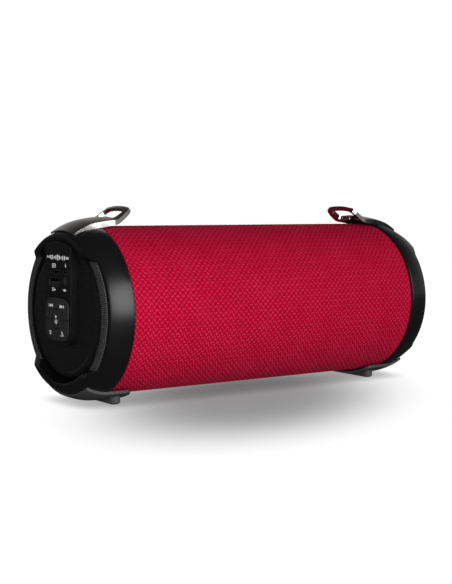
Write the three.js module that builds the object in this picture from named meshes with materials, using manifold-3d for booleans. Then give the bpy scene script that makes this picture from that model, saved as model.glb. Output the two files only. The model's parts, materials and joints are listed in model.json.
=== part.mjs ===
// Portable tube speaker: a fabric-covered tube between two moulded end caps, a driver and a
// grille in each end, a control panel across the left end, and a chrome strap bracket on top
// of each cap.
//
// Millimetres, +Z up. The tube lies along X, the front faces -Y and the controls are at the
// -X end. The origin is under the middle of the speaker, on the surface that it stands on.
//
// Each end is modelled once, in its own frame: X = 0 is the edge of the fabric, +X points out
// of the end, and the axis of the tube is Z = 0. The right end stands as modelled, and the
// left end is the same one turned half a turn about Z.

import * as THREE from 'three';
import { mergeVertices } from 'three/addons/utils/BufferGeometryUtils.js';
import Module from 'manifold-3d';

const wasm = await Module();
wasm.setup();

// ---------------------------------------------------------------- driving dimensions

const FABRIC_LENGTH = 246;
const FABRIC_RADIUS = 56.5;
const FABRIC_THICKNESS = 1.7;
const TUBE_WALL = 3;
const AXIS_HEIGHT = FABRIC_RADIUS + 4.5;

const GAP = 0.3;            // between pieces that touch
const SLIDE_GAP = 0.4;      // round pieces that move
const SEGMENTS = 36;        // round the tube
const DRIVER_SEGMENTS = 20; // round the drivers
const SMALL_SEGMENTS = 8;   // round pins and screws
const CURVE_STEPS = 2;      // along each curved stretch of an outline
const BARREL_STEPS = 5;     // along the caps' barrel

// End caps
const CAP_PROUD = 1.1;       // step up from the fabric to the lip
const CAP_LENGTH = 22.9;     // from the lip to the ends of the tabs
const CAP_TAPER = 4.8;       // how far the tabs lean in at their ends
const CAP_WALL = 2.8;
const CAP_OVERLAP = 5;       // of the cap's skirt on the tube
const CAP_RIM_WIDTH = 10.7;  // from the outside of the lip in to the wall round the grille
const WEB_THICKNESS = 3;
const WEB_WIDTH = 8.9;       // of the ring behind the grille
const RIM_DROP = 5.9;        // from the tabs' ends down to the low rim between them
const TAB_DROP_TOP = 18.8;   // from the outside of the lip down to the top tab's ends
const TAB_DROP_BOTTOM = 19.2;
const TAB_SLOPE = 5;         // the sides of the tabs lean by this much

// Ribbed trims in the low rims
const TRIM_THICKNESS = 1.4;
const TRIM_WIDTH = 5.4;

// Grilles
const GRILLE_MARGIN = 3.3;   // the groove round the grille
const GRILLE_SHEET = 1.2;
const GRILLE_SUNK = 4.9;     // edge of the face, below the tabs' ends
const GRILLE_CROWN = 1.1;
const GRILLE_ROLL = 3;

// Drivers and baffles
const BAFFLE_FACE = -9;
const BAFFLE_THICKNESS = 3;
const DRIVER_MARGIN = 9.5;   // from the inside of the tube to the driver's flange
const DRIVER_HOLE = 37.5;
const FLANGE_THICKNESS = 2;
const SURROUND_OUTER = 36.5;
const CONE_RADIUS = 29.5;
const CONE_DEPTH = 10;
const PAPER = 0.8;
const COIL_RADIUS = 10.6;
const MAGNET_RADIUS = 27;
const MAGNET_LENGTH = 15;
const BASKET_DEPTH = 20;
const BASKET_WINDOW = 18;
const SPIDER_WAVES = 3;
const SPIDER_WAVE_HEIGHT = 1.2;
const DRIVER_SCREW_CIRCLE = 39.4;
const DRIVER_SCREWS = 4;
const DRIVER_SCREW = { shank: 1.2, head: 2.2, headHeight: 1.5, length: 5 };
const LEAD_RADIUS = 1.25;
const LEAD_SIDES = 8;
const LEAD_STEPS = 14;
const LEAD_HOLE_RADIUS = 3;
const LEAD_HOLE_DROP = 5.2;  // from the inside of the tube down to the hole

// Strap brackets
const BRACKET_THICKNESS = { end: 1, lip: 3.8, tip: 3 };
const BRACKET_SHORT = 2.4;       // of the tabs' ends
const BRACKET_HALF_WIDTH = 15.1;
const BRACKET_ARM_HALF_WIDTH = 16.4;
const BRACKET_TIP = 26;        // over the fabric, from the lip
const BRACKET_TIP_RISE = 8.9;
const BRACKET_NECK = 12.2;       // where the loop starts to rise
const BRACKET_NECK_RISE = 2.1;
const BRACKET_TIP_CORNER = 6;
const LOOP_HALF_WIDTH = 11.2;
const LOOP_START = 12;
const LOOP_END = 22;
const LOOP_CORNER = 3;
const BRACKET_SCREW = { shank: 1.3, head: 2.2, headHeight: 1.4, seat: 3.9, bite: 2.2 };

// Feet
const HOLDER_THICKNESS = 1.8;
const HOLDER_HALF_WIDTH = 28;
const HOLDER_SHORT = 4.9;        // of the tabs' ends
const HOLDER_EAR = 17;           // under the fabric, from the lip
const FOOT_HALF_LENGTH = 22;
const FOOT_WIDTH = 7.8;
const FOOT_INSET = 4.8;          // from the lip
const FOOT_PAD_MARGIN = 1.2;
const FOOT_PAD_POCKET = 1;
const FOOT_PAD_PROUD = 0.8;

// Control panel
const PANEL_PROUD = 0.8;         // of the tabs' ends
const PANEL_BOTTOM = -21.2;
const PANEL_CORNER = 7;
const PANEL_WALL = 2;
const KEYPAD_WIDTH = 29.2;
const PANEL_MARGIN = 2;          // of the panel beside the keypad
const PANEL_HALF_WIDTH = KEYPAD_WIDTH / 2 + PANEL_MARGIN;
const KEYPAD_HEIGHT = 28;
const KEYPAD_CENTRE = -4.4;
const KEYPAD_CORNER = 7;
const KEY_PROUD = 1.2;
const KEY_THICKNESS = 3;
const KEY_TRAVEL = 0.8;
const CENTRE_KEY_WIDTH = 10.6;
const CENTRE_KEY_HEIGHT = 12;
const CENTRE_KEY_CORNER = 3;
const MAT_THICKNESS = 1;
const BOARD_THICKNESS = 1.6;

// Sockets in the panel: place across (Y) and up (Z), and size
const PORT_BOARD_CLEAR = 1.3;    // from the panel's back edge to the board behind the sockets
const SOCKET_SUNK = 0.4;         // below the panel's face
const SOCKET_SHEET = 0.4;
const USB = { y: -5.2, z: 20.1, width: 13.2, height: 5.9 };
const USB_TONGUE = { width: 11, height: 1.8, recess: 4.2 };
const CARD = { y: -5, z: 26.4, width: 10.8, height: 2.2 };
const CHARGE = { y: 10.2, z: 27.2, width: 7.4, height: 2.9 };
const JACK = { y: 9.3, z: 21.2, radius: 3, bore: 1.8, floor: 2 };

// Inside the tube
const TRAY_MARGIN = 48;      // from each lip to the tray's end
const TRAY_HALF_WIDTH = 34;
const TRAY_RISE = 18;        // from the bottom of the tube up to the tray's face
const TRAY_PLATE = 2.5;
const RAIL_HEIGHT = 1.7;
const RAIL_WIDTH = 3;
const MAIN_BOARD = { length: 70, width: 44 };
const MAIN_BOARD_MARGIN = 51; // from the left lip to the board
const CELL_RADIUS = 9.2;
const CELL_LENGTH = 65;
const HOLDER_WALL = 2;
const CELL_HOLDER_LEFT = 4;

// Values that follow
const TUBE_OUTER = FABRIC_RADIUS - FABRIC_THICKNESS - GAP;
const TUBE_INNER = TUBE_OUTER - TUBE_WALL;
const CAP_RADIUS = FABRIC_RADIUS + CAP_PROUD;
const WELL_RADIUS = CAP_RADIUS - CAP_RIM_WIDTH;
const WEB_BORE = WELL_RADIUS - WEB_WIDTH;
const GRILLE_RADIUS = WELL_RADIUS - GRILLE_MARGIN;
const TRIM_OUTER = WELL_RADIUS + TRIM_WIDTH;
const DRIVER_FLANGE = TUBE_INNER - DRIVER_MARGIN;
const LEAD_HOLE_HEIGHT = TUBE_INNER - LEAD_HOLE_DROP;
const TRAY_TOP = TRAY_RISE - TUBE_INNER;
const LIP = FABRIC_LENGTH / 2;
const RIM_REACH = CAP_LENGTH - RIM_DROP;
const CAP_HOLLOW_TOP = RIM_REACH - WEB_THICKNESS + 0.4;
const GRILLE_FACE = CAP_LENGTH - GRILLE_SUNK;
const BRACKET_REACH = CAP_LENGTH - BRACKET_SHORT;
const HOLDER_REACH = CAP_LENGTH - HOLDER_SHORT;
const PANEL_FACE = CAP_LENGTH + PANEL_PROUD;
const BOARD_LEFT = MAIN_BOARD_MARGIN - LIP;
const WEB_BACK = CAP_OVERLAP + GAP;
const WEB_FRONT = WEB_BACK + WEB_THICKNESS;
const FLANGE_BACK = BAFFLE_FACE + GAP;
const FLANGE_FRONT = FLANGE_BACK + FLANGE_THICKNESS;
const PANEL_BACK = WEB_FRONT + GAP;
const PANEL_INSIDE = PANEL_FACE - PANEL_WALL;
const PORT_BOARD_FRONT = PANEL_BACK + PORT_BOARD_CLEAR + BOARD_THICKNESS;
const SOCKET_FRONT = PANEL_FACE - SOCKET_SUNK;
const SOCKET_BACK = PORT_BOARD_FRONT + GAP;
const SCREW_PLACE = WEB_BACK + BRACKET_SCREW.head + GAP;

// ---------------------------------------------------------------- materials

const finish = (color, roughness, metalness = 0) =>
  new THREE.MeshStandardMaterial({ color, roughness, metalness });

const satinBlack = finish(0x141416, 0.4);
const grilleBlack = finish(0x0a0a0b, 0.55, 0.4);
const crimsonFabric = finish(0xa80f2c, 0.85);
const chrome = finish(0xb8b4b2, 0.08, 1);
const rubber = finish(0x161616, 0.85);
const keyGrey = finish(0x2a2c30, 0.6);
const steel = finish(0x9a9a9c, 0.35, 1);
const paper = finish(0x1a1a1c, 0.8);
const ferrite = finish(0x2c2c2e, 0.7);
const boardGreen = finish(0x0f4a2c, 0.5);
const cellBlue = finish(0x27528a, 0.45);
const plainPlastic = finish(0x2f3033, 0.6);

// ---------------------------------------------------------------- solids

// A closed three.js geometry as a manifold solid.
function solid(geometry) {
  const bare = geometry.clone();
  bare.deleteAttribute('normal');
  bare.deleteAttribute('uv');
  const merged = mergeVertices(bare, 1e-4);
  return new wasm.Manifold(new wasm.Mesh({
    numProp: 3,
    vertProperties: new Float32Array(merged.attributes.position.array),
    triVerts: new Uint32Array(merged.index.array),
  }));
}

// A manifold solid as a three.js geometry.
function geometryOf(manifold) {
  const mesh = manifold.getMesh();
  const geometry = new THREE.BufferGeometry();
  geometry.setAttribute('position', new THREE.BufferAttribute(mesh.vertProperties, 3));
  geometry.setIndex(new THREE.BufferAttribute(mesh.triVerts, 1));
  geometry.computeVertexNormals();
  return geometry;
}

// A named sub-part.
function part(name, shape, material) {
  const mesh = new THREE.Mesh(geometryOf(shape), material);
  mesh.name = name;
  return mesh;
}

// Turn a closed outline of (radius, X) about the X axis.
function revolve(outline, segments = SEGMENTS, steps = CURVE_STEPS) {
  const points = outline.getPoints(steps);
  const first = points[0];
  const last = points[points.length - 1];
  if (first.distanceTo(last) > 1e-6) points.push(first.clone());
  if (THREE.ShapeUtils.isClockWise(points)) points.reverse();
  const onAxis = points.every((p, i) => i === 0 || p.x > 1e-6 || points[i - 1].x > 1e-6);
  const profile = onAxis ? points : openAtAxis(points);
  return solid(new THREE.LatheGeometry(profile, segments).rotateZ(-Math.PI / 2));
}

// An outline that runs along the axis is opened there, so that it starts and ends on it.
function openAtAxis(points) {
  const ring = points.slice(0, -1);
  const start = ring.findIndex((p, i) => p.x <= 1e-6 && ring[(i + 1) % ring.length].x > 1e-6);
  const turned = ring.slice(start).concat(ring.slice(0, start));
  const end = turned.findIndex((p, i) => i > 0 && p.x <= 1e-6);
  return turned.slice(0, end + 1);
}

// A path through corners given as [radius, X] pairs.
function polygon(corners) {
  return new THREE.Path(corners.map(([a, b]) => new THREE.Vector2(a, b)));
}

const ring = (inner, outer, from, to, segments) =>
  revolve(polygon([[inner, from], [outer, from], [outer, to], [inner, to]]), segments);

const disc = (radius, from, to, segments) =>
  revolve(polygon([[0, from], [radius, from], [radius, to], [0, to]]), segments);

// An outline in (Y, Z), carried along X.
function alongX(shape, from, to) {
  const geometry = new THREE.ExtrudeGeometry(shape, {
    depth: to - from, bevelEnabled: false, curveSegments: CURVE_STEPS,
  });
  const turn = new THREE.Matrix4().makeBasis(
    new THREE.Vector3(0, 1, 0), new THREE.Vector3(0, 0, 1), new THREE.Vector3(1, 0, 0),
  );
  return solid(geometry.applyMatrix4(turn).translate(from, 0, 0));
}

// An outline in (X, Z), carried along Y.
function alongY(shape, from, to) {
  const geometry = new THREE.ExtrudeGeometry(shape, {
    depth: to - from, bevelEnabled: false, curveSegments: CURVE_STEPS,
  });
  return solid(geometry.rotateX(Math.PI / 2).translate(0, to, 0));
}

// An outline in (X, Y), carried along Z.
function alongZ(shape, from, to) {
  const geometry = new THREE.ExtrudeGeometry(shape, {
    depth: to - from, bevelEnabled: false, curveSegments: CURVE_STEPS,
  });
  return solid(geometry.translate(0, 0, from));
}

function block(x0, x1, y0, y1, z0, z1) {
  const geometry = new THREE.BoxGeometry(x1 - x0, y1 - y0, z1 - z0);
  return solid(geometry.translate((x0 + x1) / 2, (y0 + y1) / 2, (z0 + z1) / 2));
}

function outlineShape(corners) {
  return new THREE.Shape(corners.map(([a, b]) => new THREE.Vector2(a, b)));
}

// A rectangle with rounded corners about a centre.
function roundedRectangle(centreA, centreB, width, height, corner) {
  const shape = new THREE.Shape();
  const a = width / 2 - corner;
  const b = height / 2 - corner;
  shape.absarc(centreA + a, centreB + b, corner, 0, Math.PI / 2);
  shape.absarc(centreA - a, centreB + b, corner, Math.PI / 2, Math.PI);
  shape.absarc(centreA - a, centreB - b, corner, Math.PI, Math.PI * 1.5);
  shape.absarc(centreA + a, centreB - b, corner, Math.PI * 1.5, Math.PI * 2);
  return shape;
}

// A round bar along X.
function barX(radius, from, to, y, z, segments = SMALL_SEGMENTS) {
  const geometry = new THREE.CylinderGeometry(radius, radius, to - from, segments);
  return solid(geometry.rotateZ(-Math.PI / 2).translate((from + to) / 2, y, z));
}

// ---------------------------------------------------------------- the cap's outer line

// The barrel of the cap: radius falls from the lip to the tabs' ends. An offset moves it out.
function barrel(offset) {
  const r = CAP_RADIUS + offset;
  return new THREE.CubicBezierCurve(
    new THREE.Vector2(r, 1),
    new THREE.Vector2(r, 9),
    new THREE.Vector2(r - 2.2, CAP_LENGTH * 0.64),
    new THREE.Vector2(r - CAP_TAPER - 0.9, CAP_LENGTH - 0.7),
  );
}

// The barrel's points from the lip out to a reach, ending exactly there.
function barrelTo(offset, reach) {
  const points = barrel(offset).getPoints(BARREL_STEPS);
  const inside = points.filter((p) => p.y < reach - 0.2);
  const next = points[inside.length];
  const last = inside[inside.length - 1];
  const share = (reach - last.y) / (next.y - last.y);
  return inside.concat(last.clone().lerp(next, share));
}

// ---------------------------------------------------------------- caps, trims and grilles

// The space beside the tabs, with its own clearance: open to the outside from the low rim up.
function rimCut(reach, clearance) {
  const high = CAP_RADIUS - TAB_DROP_TOP - clearance;
  const low = TAB_DROP_BOTTOM - CAP_RADIUS + clearance;
  const far = CAP_LENGTH + 10;
  const run = (CAP_LENGTH - RIM_REACH) / TAB_SLOPE;
  const lean = (x) => (x - CAP_LENGTH) / run;
  const shape = outlineShape([
    [reach, low - lean(reach)],
    [far, low - lean(far)],
    [far, high + lean(far)],
    [reach, high + lean(reach)],
  ]);
  return alongY(shape, -CAP_RADIUS * 1.5, CAP_RADIUS * 1.5);
}

function capBody() {
  const outer = barrel(0).getPoints(BARREL_STEPS);
  const skirt = TUBE_OUTER + GAP;
  const wellBack = WELL_RADIUS + WEB_THICKNESS - 0.5;
  const outline = new THREE.Path();
  outline.moveTo(skirt, 0);
  outline.lineTo(CAP_RADIUS - 0.5, 0);
  outline.quadraticCurveTo(CAP_RADIUS, 0, CAP_RADIUS, 1);
  outer.slice(1).forEach((p) => outline.lineTo(p.x, p.y));
  const end = outer[outer.length - 1];
  outline.quadraticCurveTo(end.x - 0.2, CAP_LENGTH, end.x - 1, CAP_LENGTH);
  outline.lineTo(WELL_RADIUS + 0.6, CAP_LENGTH);
  outline.lineTo(WELL_RADIUS, CAP_LENGTH - 0.6);
  outline.lineTo(WELL_RADIUS, WEB_FRONT);
  outline.lineTo(WEB_BORE, WEB_FRONT);
  outline.lineTo(WEB_BORE, WEB_BACK);
  outline.lineTo(wellBack, WEB_BACK);
  outline.lineTo(wellBack, CAP_HOLLOW_TOP);
  outline.lineTo(CAP_RADIUS - CAP_WALL - 3, CAP_HOLLOW_TOP);
  outline.quadraticCurveTo(skirt, CAP_HOLLOW_TOP - 4, skirt, WEB_BACK + 1);
  return revolve(outline).subtract(rimCut(RIM_REACH, 0));
}

// An upright round bar over the axis, at a place along X.
function uprightBar(radius, x, from, to) {
  const geometry = new THREE.CylinderGeometry(radius, radius, to - from, SMALL_SEGMENTS);
  return solid(geometry.rotateX(Math.PI / 2).translate(x, 0, (from + to) / 2));
}

// The hole for the screw that comes up from inside the cap, as far as it goes into the bracket.
function bracketScrewHole() {
  const top = CAP_RADIUS + BRACKET_SCREW.bite + GAP;
  return uprightBar(BRACKET_SCREW.shank + GAP, SCREW_PLACE, WELL_RADIUS + 4, top);
}

function bracketScrew() {
  const headTop = CAP_RADIUS - BRACKET_SCREW.seat;
  const tip = CAP_RADIUS + BRACKET_SCREW.bite;
  const { shank, head, headHeight } = BRACKET_SCREW;
  return uprightBar(shank, SCREW_PLACE, headTop - headHeight / 2, tip)
    .add(uprightBar(head, SCREW_PLACE, headTop - headHeight, headTop));
}

// The flat seat in the cap for the screw's head, open towards the inside.
function bracketScrewSeat() {
  const { head, seat } = BRACKET_SCREW;
  return uprightBar(head + GAP, SCREW_PLACE, WELL_RADIUS + 4, CAP_RADIUS - seat + GAP);
}

const cap = () => capBody().subtract(bracketScrewHole()).subtract(bracketScrewSeat());

// The ribbed trim that lies on the low rim, in front of (side = -1) or behind the grille.
function rimTrim(side) {
  const from = RIM_REACH + GAP;
  const to = from + TRIM_THICKNESS;
  const outline = new THREE.Path();
  outline.moveTo(WELL_RADIUS, from);
  outline.lineTo(TRIM_OUTER, from);
  outline.quadraticCurveTo(TRIM_OUTER, to, TRIM_OUTER - TRIM_THICKNESS, to);
  outline.lineTo(WELL_RADIUS, to);
  const half = block(0, CAP_LENGTH, Math.min(0, side * CAP_RADIUS), Math.max(0, side * CAP_RADIUS),
    -CAP_RADIUS, CAP_RADIUS);
  return revolve(outline).intersect(rimCut(from - 1, GAP)).intersect(half);
}

function grille() {
  const inner = GRILLE_RADIUS - GRILLE_SHEET;
  const back = WEB_FRONT + GAP;
  const under = GRILLE_FACE - GRILLE_SHEET;
  const crown = GRILLE_FACE + GRILLE_CROWN;
  const outline = new THREE.Path();
  outline.moveTo(inner, back);
  outline.lineTo(GRILLE_RADIUS, back);
  outline.lineTo(GRILLE_RADIUS, GRILLE_FACE - GRILLE_ROLL);
  outline.quadraticCurveTo(GRILLE_RADIUS, GRILLE_FACE, GRILLE_RADIUS - GRILLE_ROLL, GRILLE_FACE);
  outline.quadraticCurveTo(GRILLE_RADIUS / 2, crown, 0, crown);
  outline.lineTo(0, crown - GRILLE_SHEET);
  outline.quadraticCurveTo(GRILLE_RADIUS / 2, crown - GRILLE_SHEET, inner - 1, under);
  outline.quadraticCurveTo(inner, under, inner, under - 1);
  return revolve(outline);
}

// ---------------------------------------------------------------- strap bracket

// The bracket's underside in (radius, X): along the cap, over the lip, then up into the loop.
function bracketUnderside() {
  const base = CAP_RADIUS + GAP;
  const overCap = barrelTo(GAP, BRACKET_REACH).reverse();
  const neck = new THREE.CubicBezierCurve(
    new THREE.Vector2(base, 0),
    new THREE.Vector2(base + BRACKET_NECK_RISE * 0.7, -BRACKET_NECK * 0.5),
    new THREE.Vector2(base + BRACKET_NECK_RISE * 0.6, -BRACKET_NECK * 0.8),
    new THREE.Vector2(base + BRACKET_NECK_RISE, -BRACKET_NECK),
  );
  const loop = new THREE.QuadraticBezierCurve(
    new THREE.Vector2(base + BRACKET_NECK_RISE, -BRACKET_NECK),
    new THREE.Vector2(base + BRACKET_NECK_RISE * 1.5, -BRACKET_NECK - 3.4),
    new THREE.Vector2(base + BRACKET_TIP_RISE, -BRACKET_TIP + 1),
  );
  return overCap.concat(neck.getPoints(CURVE_STEPS), loop.getPoints(CURVE_STEPS).slice(1));
}

// The casting is thin at its end on the cap, thickest over the lip and slimmer at the loop.
function bracketThickness(x) {
  const { end, lip, tip } = BRACKET_THICKNESS;
  const towards = x > 0 ? end : tip;
  const share = x > 0 ? x / BRACKET_REACH : -x / BRACKET_TIP;
  return THREE.MathUtils.lerp(lip, towards, share);
}

// The same line moved out by the thickness, square to itself.
function raised(line) {
  return line.map((p, i) => {
    const before = line[Math.max(i - 1, 0)];
    const after = line[Math.min(i + 1, line.length - 1)];
    const run = after.clone().sub(before).normalize();
    const thickness = bracketThickness(p.y);
    return new THREE.Vector2(p.x - run.y * thickness, p.y + run.x * thickness);
  });
}

function bracketPlan() {
  const plan = new THREE.Shape();
  const tip = -BRACKET_TIP - BRACKET_THICKNESS.tip;
  const corner = BRACKET_TIP_CORNER;
  const side = BRACKET_HALF_WIDTH - 0.4;
  plan.moveTo(BRACKET_REACH + 8, -BRACKET_HALF_WIDTH);
  plan.lineTo(BRACKET_REACH + 8, BRACKET_HALF_WIDTH);
  plan.lineTo(BRACKET_REACH, BRACKET_HALF_WIDTH);
  plan.lineTo(-BRACKET_NECK, BRACKET_ARM_HALF_WIDTH);
  plan.lineTo(tip + corner, side);
  plan.quadraticCurveTo(tip, side, tip, side - corner);
  plan.lineTo(tip, -side + corner);
  plan.quadraticCurveTo(tip, -side, tip + corner, -side);
  plan.lineTo(-BRACKET_NECK, -BRACKET_ARM_HALF_WIDTH);
  plan.lineTo(BRACKET_REACH, -BRACKET_HALF_WIDTH);
  return plan;
}

function bracket() {
  const under = bracketUnderside();
  const over = raised(under).reverse();
  const band = revolve(new THREE.Path(under.concat(over)), SEGMENTS * 2);
  const loop = roundedRectangle(
    -(LOOP_START + LOOP_END) / 2, 0, LOOP_END - LOOP_START, LOOP_HALF_WIDTH * 2, LOOP_CORNER,
  );
  const high = CAP_RADIUS * 2;
  return band.intersect(alongZ(bracketPlan(), 0, high))
    .subtract(alongZ(loop, 0, high))
    .subtract(bracketScrewHole());
}

// ---------------------------------------------------------------- feet

// The plate that hugs the underside of the cap and reaches in under the fabric, with a bar
// across it that carries the rubber foot.
function footHolder() {
  const base = CAP_RADIUS + GAP;
  const inside = barrelTo(GAP, HOLDER_REACH);
  const outside = barrelTo(GAP + HOLDER_THICKNESS, HOLDER_REACH).reverse();
  const profile = new THREE.Path([
    new THREE.Vector2(base, -HOLDER_EAR), ...inside, ...outside,
    new THREE.Vector2(base + HOLDER_THICKNESS, -HOLDER_EAR),
  ]);
  const width = HOLDER_HALF_WIDTH * 2;
  const plan = roundedRectangle(
    (HOLDER_REACH - HOLDER_EAR) / 2 + 10, 0, HOLDER_REACH + HOLDER_EAR + 20, width, 5,
  );
  const plate = revolve(profile).intersect(alongZ(plan, -CAP_RADIUS * 2, 0));
  const bottom = FOOT_PAD_PROUD - AXIS_HEIGHT;
  const bar = block(-FOOT_INSET - FOOT_WIDTH, -FOOT_INSET, -FOOT_HALF_LENGTH, FOOT_HALF_LENGTH,
    bottom, -FABRIC_RADIUS * 0.8).subtract(disc(base, -HOLDER_EAR * 2, HOLDER_EAR));
  return plate.add(bar).subtract(footPadSpace(GAP, bottom + FOOT_PAD_POCKET));
}

function footPadSpace(clearance, top) {
  const length = (FOOT_HALF_LENGTH - FOOT_PAD_MARGIN + clearance) * 2;
  const width = FOOT_WIDTH - (FOOT_PAD_MARGIN - clearance) * 2;
  const plan = roundedRectangle(-FOOT_INSET - FOOT_WIDTH / 2, 0, width, length, 2);
  return alongZ(plan, -AXIS_HEIGHT, top);
}

function footPad() {
  return footPadSpace(0, FOOT_PAD_PROUD - AXIS_HEIGHT + FOOT_PAD_POCKET - GAP);
}

// ---------------------------------------------------------------- drivers

function baffle(withLeadHole) {
  const body = ring(DRIVER_HOLE, TUBE_INNER - GAP, BAFFLE_FACE - BAFFLE_THICKNESS, BAFFLE_FACE);
  const through = [BAFFLE_FACE - BAFFLE_THICKNESS - 1, BAFFLE_FACE + 1];
  const holes = driverScrewHoles(...through);
  if (withLeadHole) holes.push(barX(LEAD_HOLE_RADIUS, ...through, 0, LEAD_HOLE_HEIGHT));
  return holes.reduce((shape, hole) => shape.subtract(hole), body);
}

function driverScrewPlaces() {
  return Array.from({ length: DRIVER_SCREWS }, (_, i) => {
    const angle = Math.PI / 4 + (i * 2 * Math.PI) / DRIVER_SCREWS;
    return { y: DRIVER_SCREW_CIRCLE * Math.cos(angle), z: DRIVER_SCREW_CIRCLE * Math.sin(angle) };
  });
}

function driverScrew({ y, z }) {
  const { shank, head, headHeight, length } = DRIVER_SCREW;
  const seat = FLANGE_FRONT + GAP;
  return barX(shank, seat - length, seat + headHeight / 2, y, z)
    .add(barX(head, seat, seat + headHeight, y, z));
}

// Clearance holes for the driver's screws, through whatever lies between two places along X.
const driverScrewHoles = (from, to) =>
  driverScrewPlaces().map(({ y, z }) => barX(DRIVER_SCREW.shank + GAP, from, to, y, z));

// A pressed basket: a flange, a sloping wall with four windows and a plate for the magnet.
function driverFrame() {
  const back = FLANGE_FRONT - BASKET_DEPTH;
  const outline = polygon([
    [SURROUND_OUTER - 2.2, FLANGE_FRONT - FLANGE_THICKNESS],
    [MAGNET_RADIUS - 1.6, back + 1.5],
    [COIL_RADIUS + 3, back + 1.5],
    [COIL_RADIUS + 3, back],
    [MAGNET_RADIUS - 0.4, back],
    [SURROUND_OUTER - 0.6, FLANGE_BACK],
    [DRIVER_FLANGE, FLANGE_BACK],
    [DRIVER_FLANGE, FLANGE_FRONT],
    [SURROUND_OUTER - 2.2, FLANGE_FRONT],
  ]);
  const windowFrom = back + 3.5;
  const windowTo = FLANGE_BACK - 3;
  const far = DRIVER_FLANGE;
  const windows = [
    block(windowFrom, windowTo, -BASKET_WINDOW / 2, BASKET_WINDOW / 2, -far, far),
    block(windowFrom, windowTo, -far, far, -BASKET_WINDOW / 2, BASKET_WINDOW / 2),
  ];
  const screwHoles = driverScrewHoles(FLANGE_BACK - 1, FLANGE_FRONT + 1);
  return [...windows, ...screwHoles].reduce((shape, cut) => shape.subtract(cut),
    revolve(outline, DRIVER_SEGMENTS));
}

// Front plate, ferrite ring, back plate and pole, with the gap that the coil runs in.
function driverMagnet() {
  const front = FLANGE_FRONT - BASKET_DEPTH - GAP;
  const back = front - MAGNET_LENGTH;
  return revolve(polygon([
    [0, back],
    [MAGNET_RADIUS - 3, back],
    [MAGNET_RADIUS - 3, back + 3],
    [MAGNET_RADIUS, back + 3],
    [MAGNET_RADIUS, front - 3],
    [MAGNET_RADIUS - 3, front - 3],
    [MAGNET_RADIUS - 3, front],
    [COIL_RADIUS + 1, front],
    [COIL_RADIUS + 1, back + 3.5],
    [COIL_RADIUS - 1.2, back + 3.5],
    [COIL_RADIUS - 1.2, front],
    [0, front],
  ]), DRIVER_SEGMENTS);
}

// Cone, dust cap and voice-coil former in one moving piece.
function driverCone() {
  const rim = FLANGE_FRONT + 0.4;
  const neck = rim - CONE_DEPTH;
  const coilEnd = FLANGE_FRONT - BASKET_DEPTH - GAP - 6;
  const outline = new THREE.Path();
  outline.moveTo(0, neck + 5.5);
  outline.quadraticCurveTo(COIL_RADIUS * 0.8, neck + 5, COIL_RADIUS + 2, neck + 1.6);
  outline.quadraticCurveTo(CONE_RADIUS * 0.7, neck + 3.6, CONE_RADIUS, rim);
  outline.lineTo(CONE_RADIUS, rim - PAPER);
  outline.quadraticCurveTo(CONE_RADIUS * 0.7, neck + 2.4, COIL_RADIUS + PAPER / 2, neck);
  outline.lineTo(COIL_RADIUS + PAPER / 2, coilEnd);
  outline.lineTo(COIL_RADIUS - PAPER / 2, coilEnd);
  outline.lineTo(COIL_RADIUS - PAPER / 2, neck + 1);
  outline.quadraticCurveTo(COIL_RADIUS * 0.7, neck + 4.2, 0, neck + 5.5 - PAPER);
  return revolve(outline, DRIVER_SEGMENTS);
}

// A half roll between the cone and the frame.
function driverSurround() {
  const inner = CONE_RADIUS + GAP;
  const outer = SURROUND_OUTER;
  const seat = FLANGE_FRONT + GAP;
  const middle = (inner + outer) / 2;
  const roll = (outer - inner) / 2 - 0.7;
  const outline = new THREE.Path();
  outline.moveTo(inner, seat);
  outline.absarc(middle, seat, roll - PAPER, Math.PI, 0, true);
  outline.lineTo(outer, seat);
  outline.lineTo(outer, seat + PAPER);
  outline.absarc(middle, seat + 0.2, roll, 0, Math.PI, false);
  outline.lineTo(inner, seat + PAPER);
  return revolve(outline, DRIVER_SEGMENTS, 2);
}

// The corrugated ring that centres the coil.
function driverSpider() {
  const seat = FLANGE_FRONT - BASKET_DEPTH + 5;
  const inner = COIL_RADIUS + PAPER / 2 + GAP;
  const outer = MAGNET_RADIUS - 3;
  const steps = SPIDER_WAVES * 2;
  const wave = Array.from({ length: steps + 1 }, (_, i) => [
    inner + ((outer - inner) * i) / steps,
    seat + SPIDER_WAVE_HEIGHT * (i % 2),
  ]);
  const back = wave.map(([r, x]) => [r, x - PAPER]).reverse();
  return revolve(polygon(wave.concat(back)), DRIVER_SEGMENTS);
}

// ---------------------------------------------------------------- one whole end

function endPieces(side) {
  const pieces = [
    part(`${side}_cap`, cap(), satinBlack),
    part(`${side}_trim_front`, rimTrim(side === 'left' ? 1 : -1), satinBlack),
    part(`${side}_trim_rear`, rimTrim(side === 'left' ? -1 : 1), satinBlack),
    part(`${side}_strap_bracket`, bracket(), chrome),
    part(`${side}_bracket_screw`, bracketScrew(), steel),
    part(`${side}_foot_holder`, footHolder(), satinBlack),
    part(`${side}_foot_pad`, footPad(), rubber),
    part(`${side}_baffle`, baffle(side === 'left'), plainPlastic),
    part(`${side}_driver_frame`, driverFrame(), steel),
    part(`${side}_driver_magnet`, driverMagnet(), ferrite),
    part(`${side}_driver_cone`, driverCone(), paper),
    part(`${side}_driver_surround`, driverSurround(), rubber),
    part(`${side}_driver_spider`, driverSpider(), paper),
  ];
  driverScrewPlaces().forEach((place, i) => {
    pieces.push(part(`${side}_driver_screw_${i + 1}`, driverScrew(place), steel));
  });
  return pieces;
}

// ---------------------------------------------------------------- control panel

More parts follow.
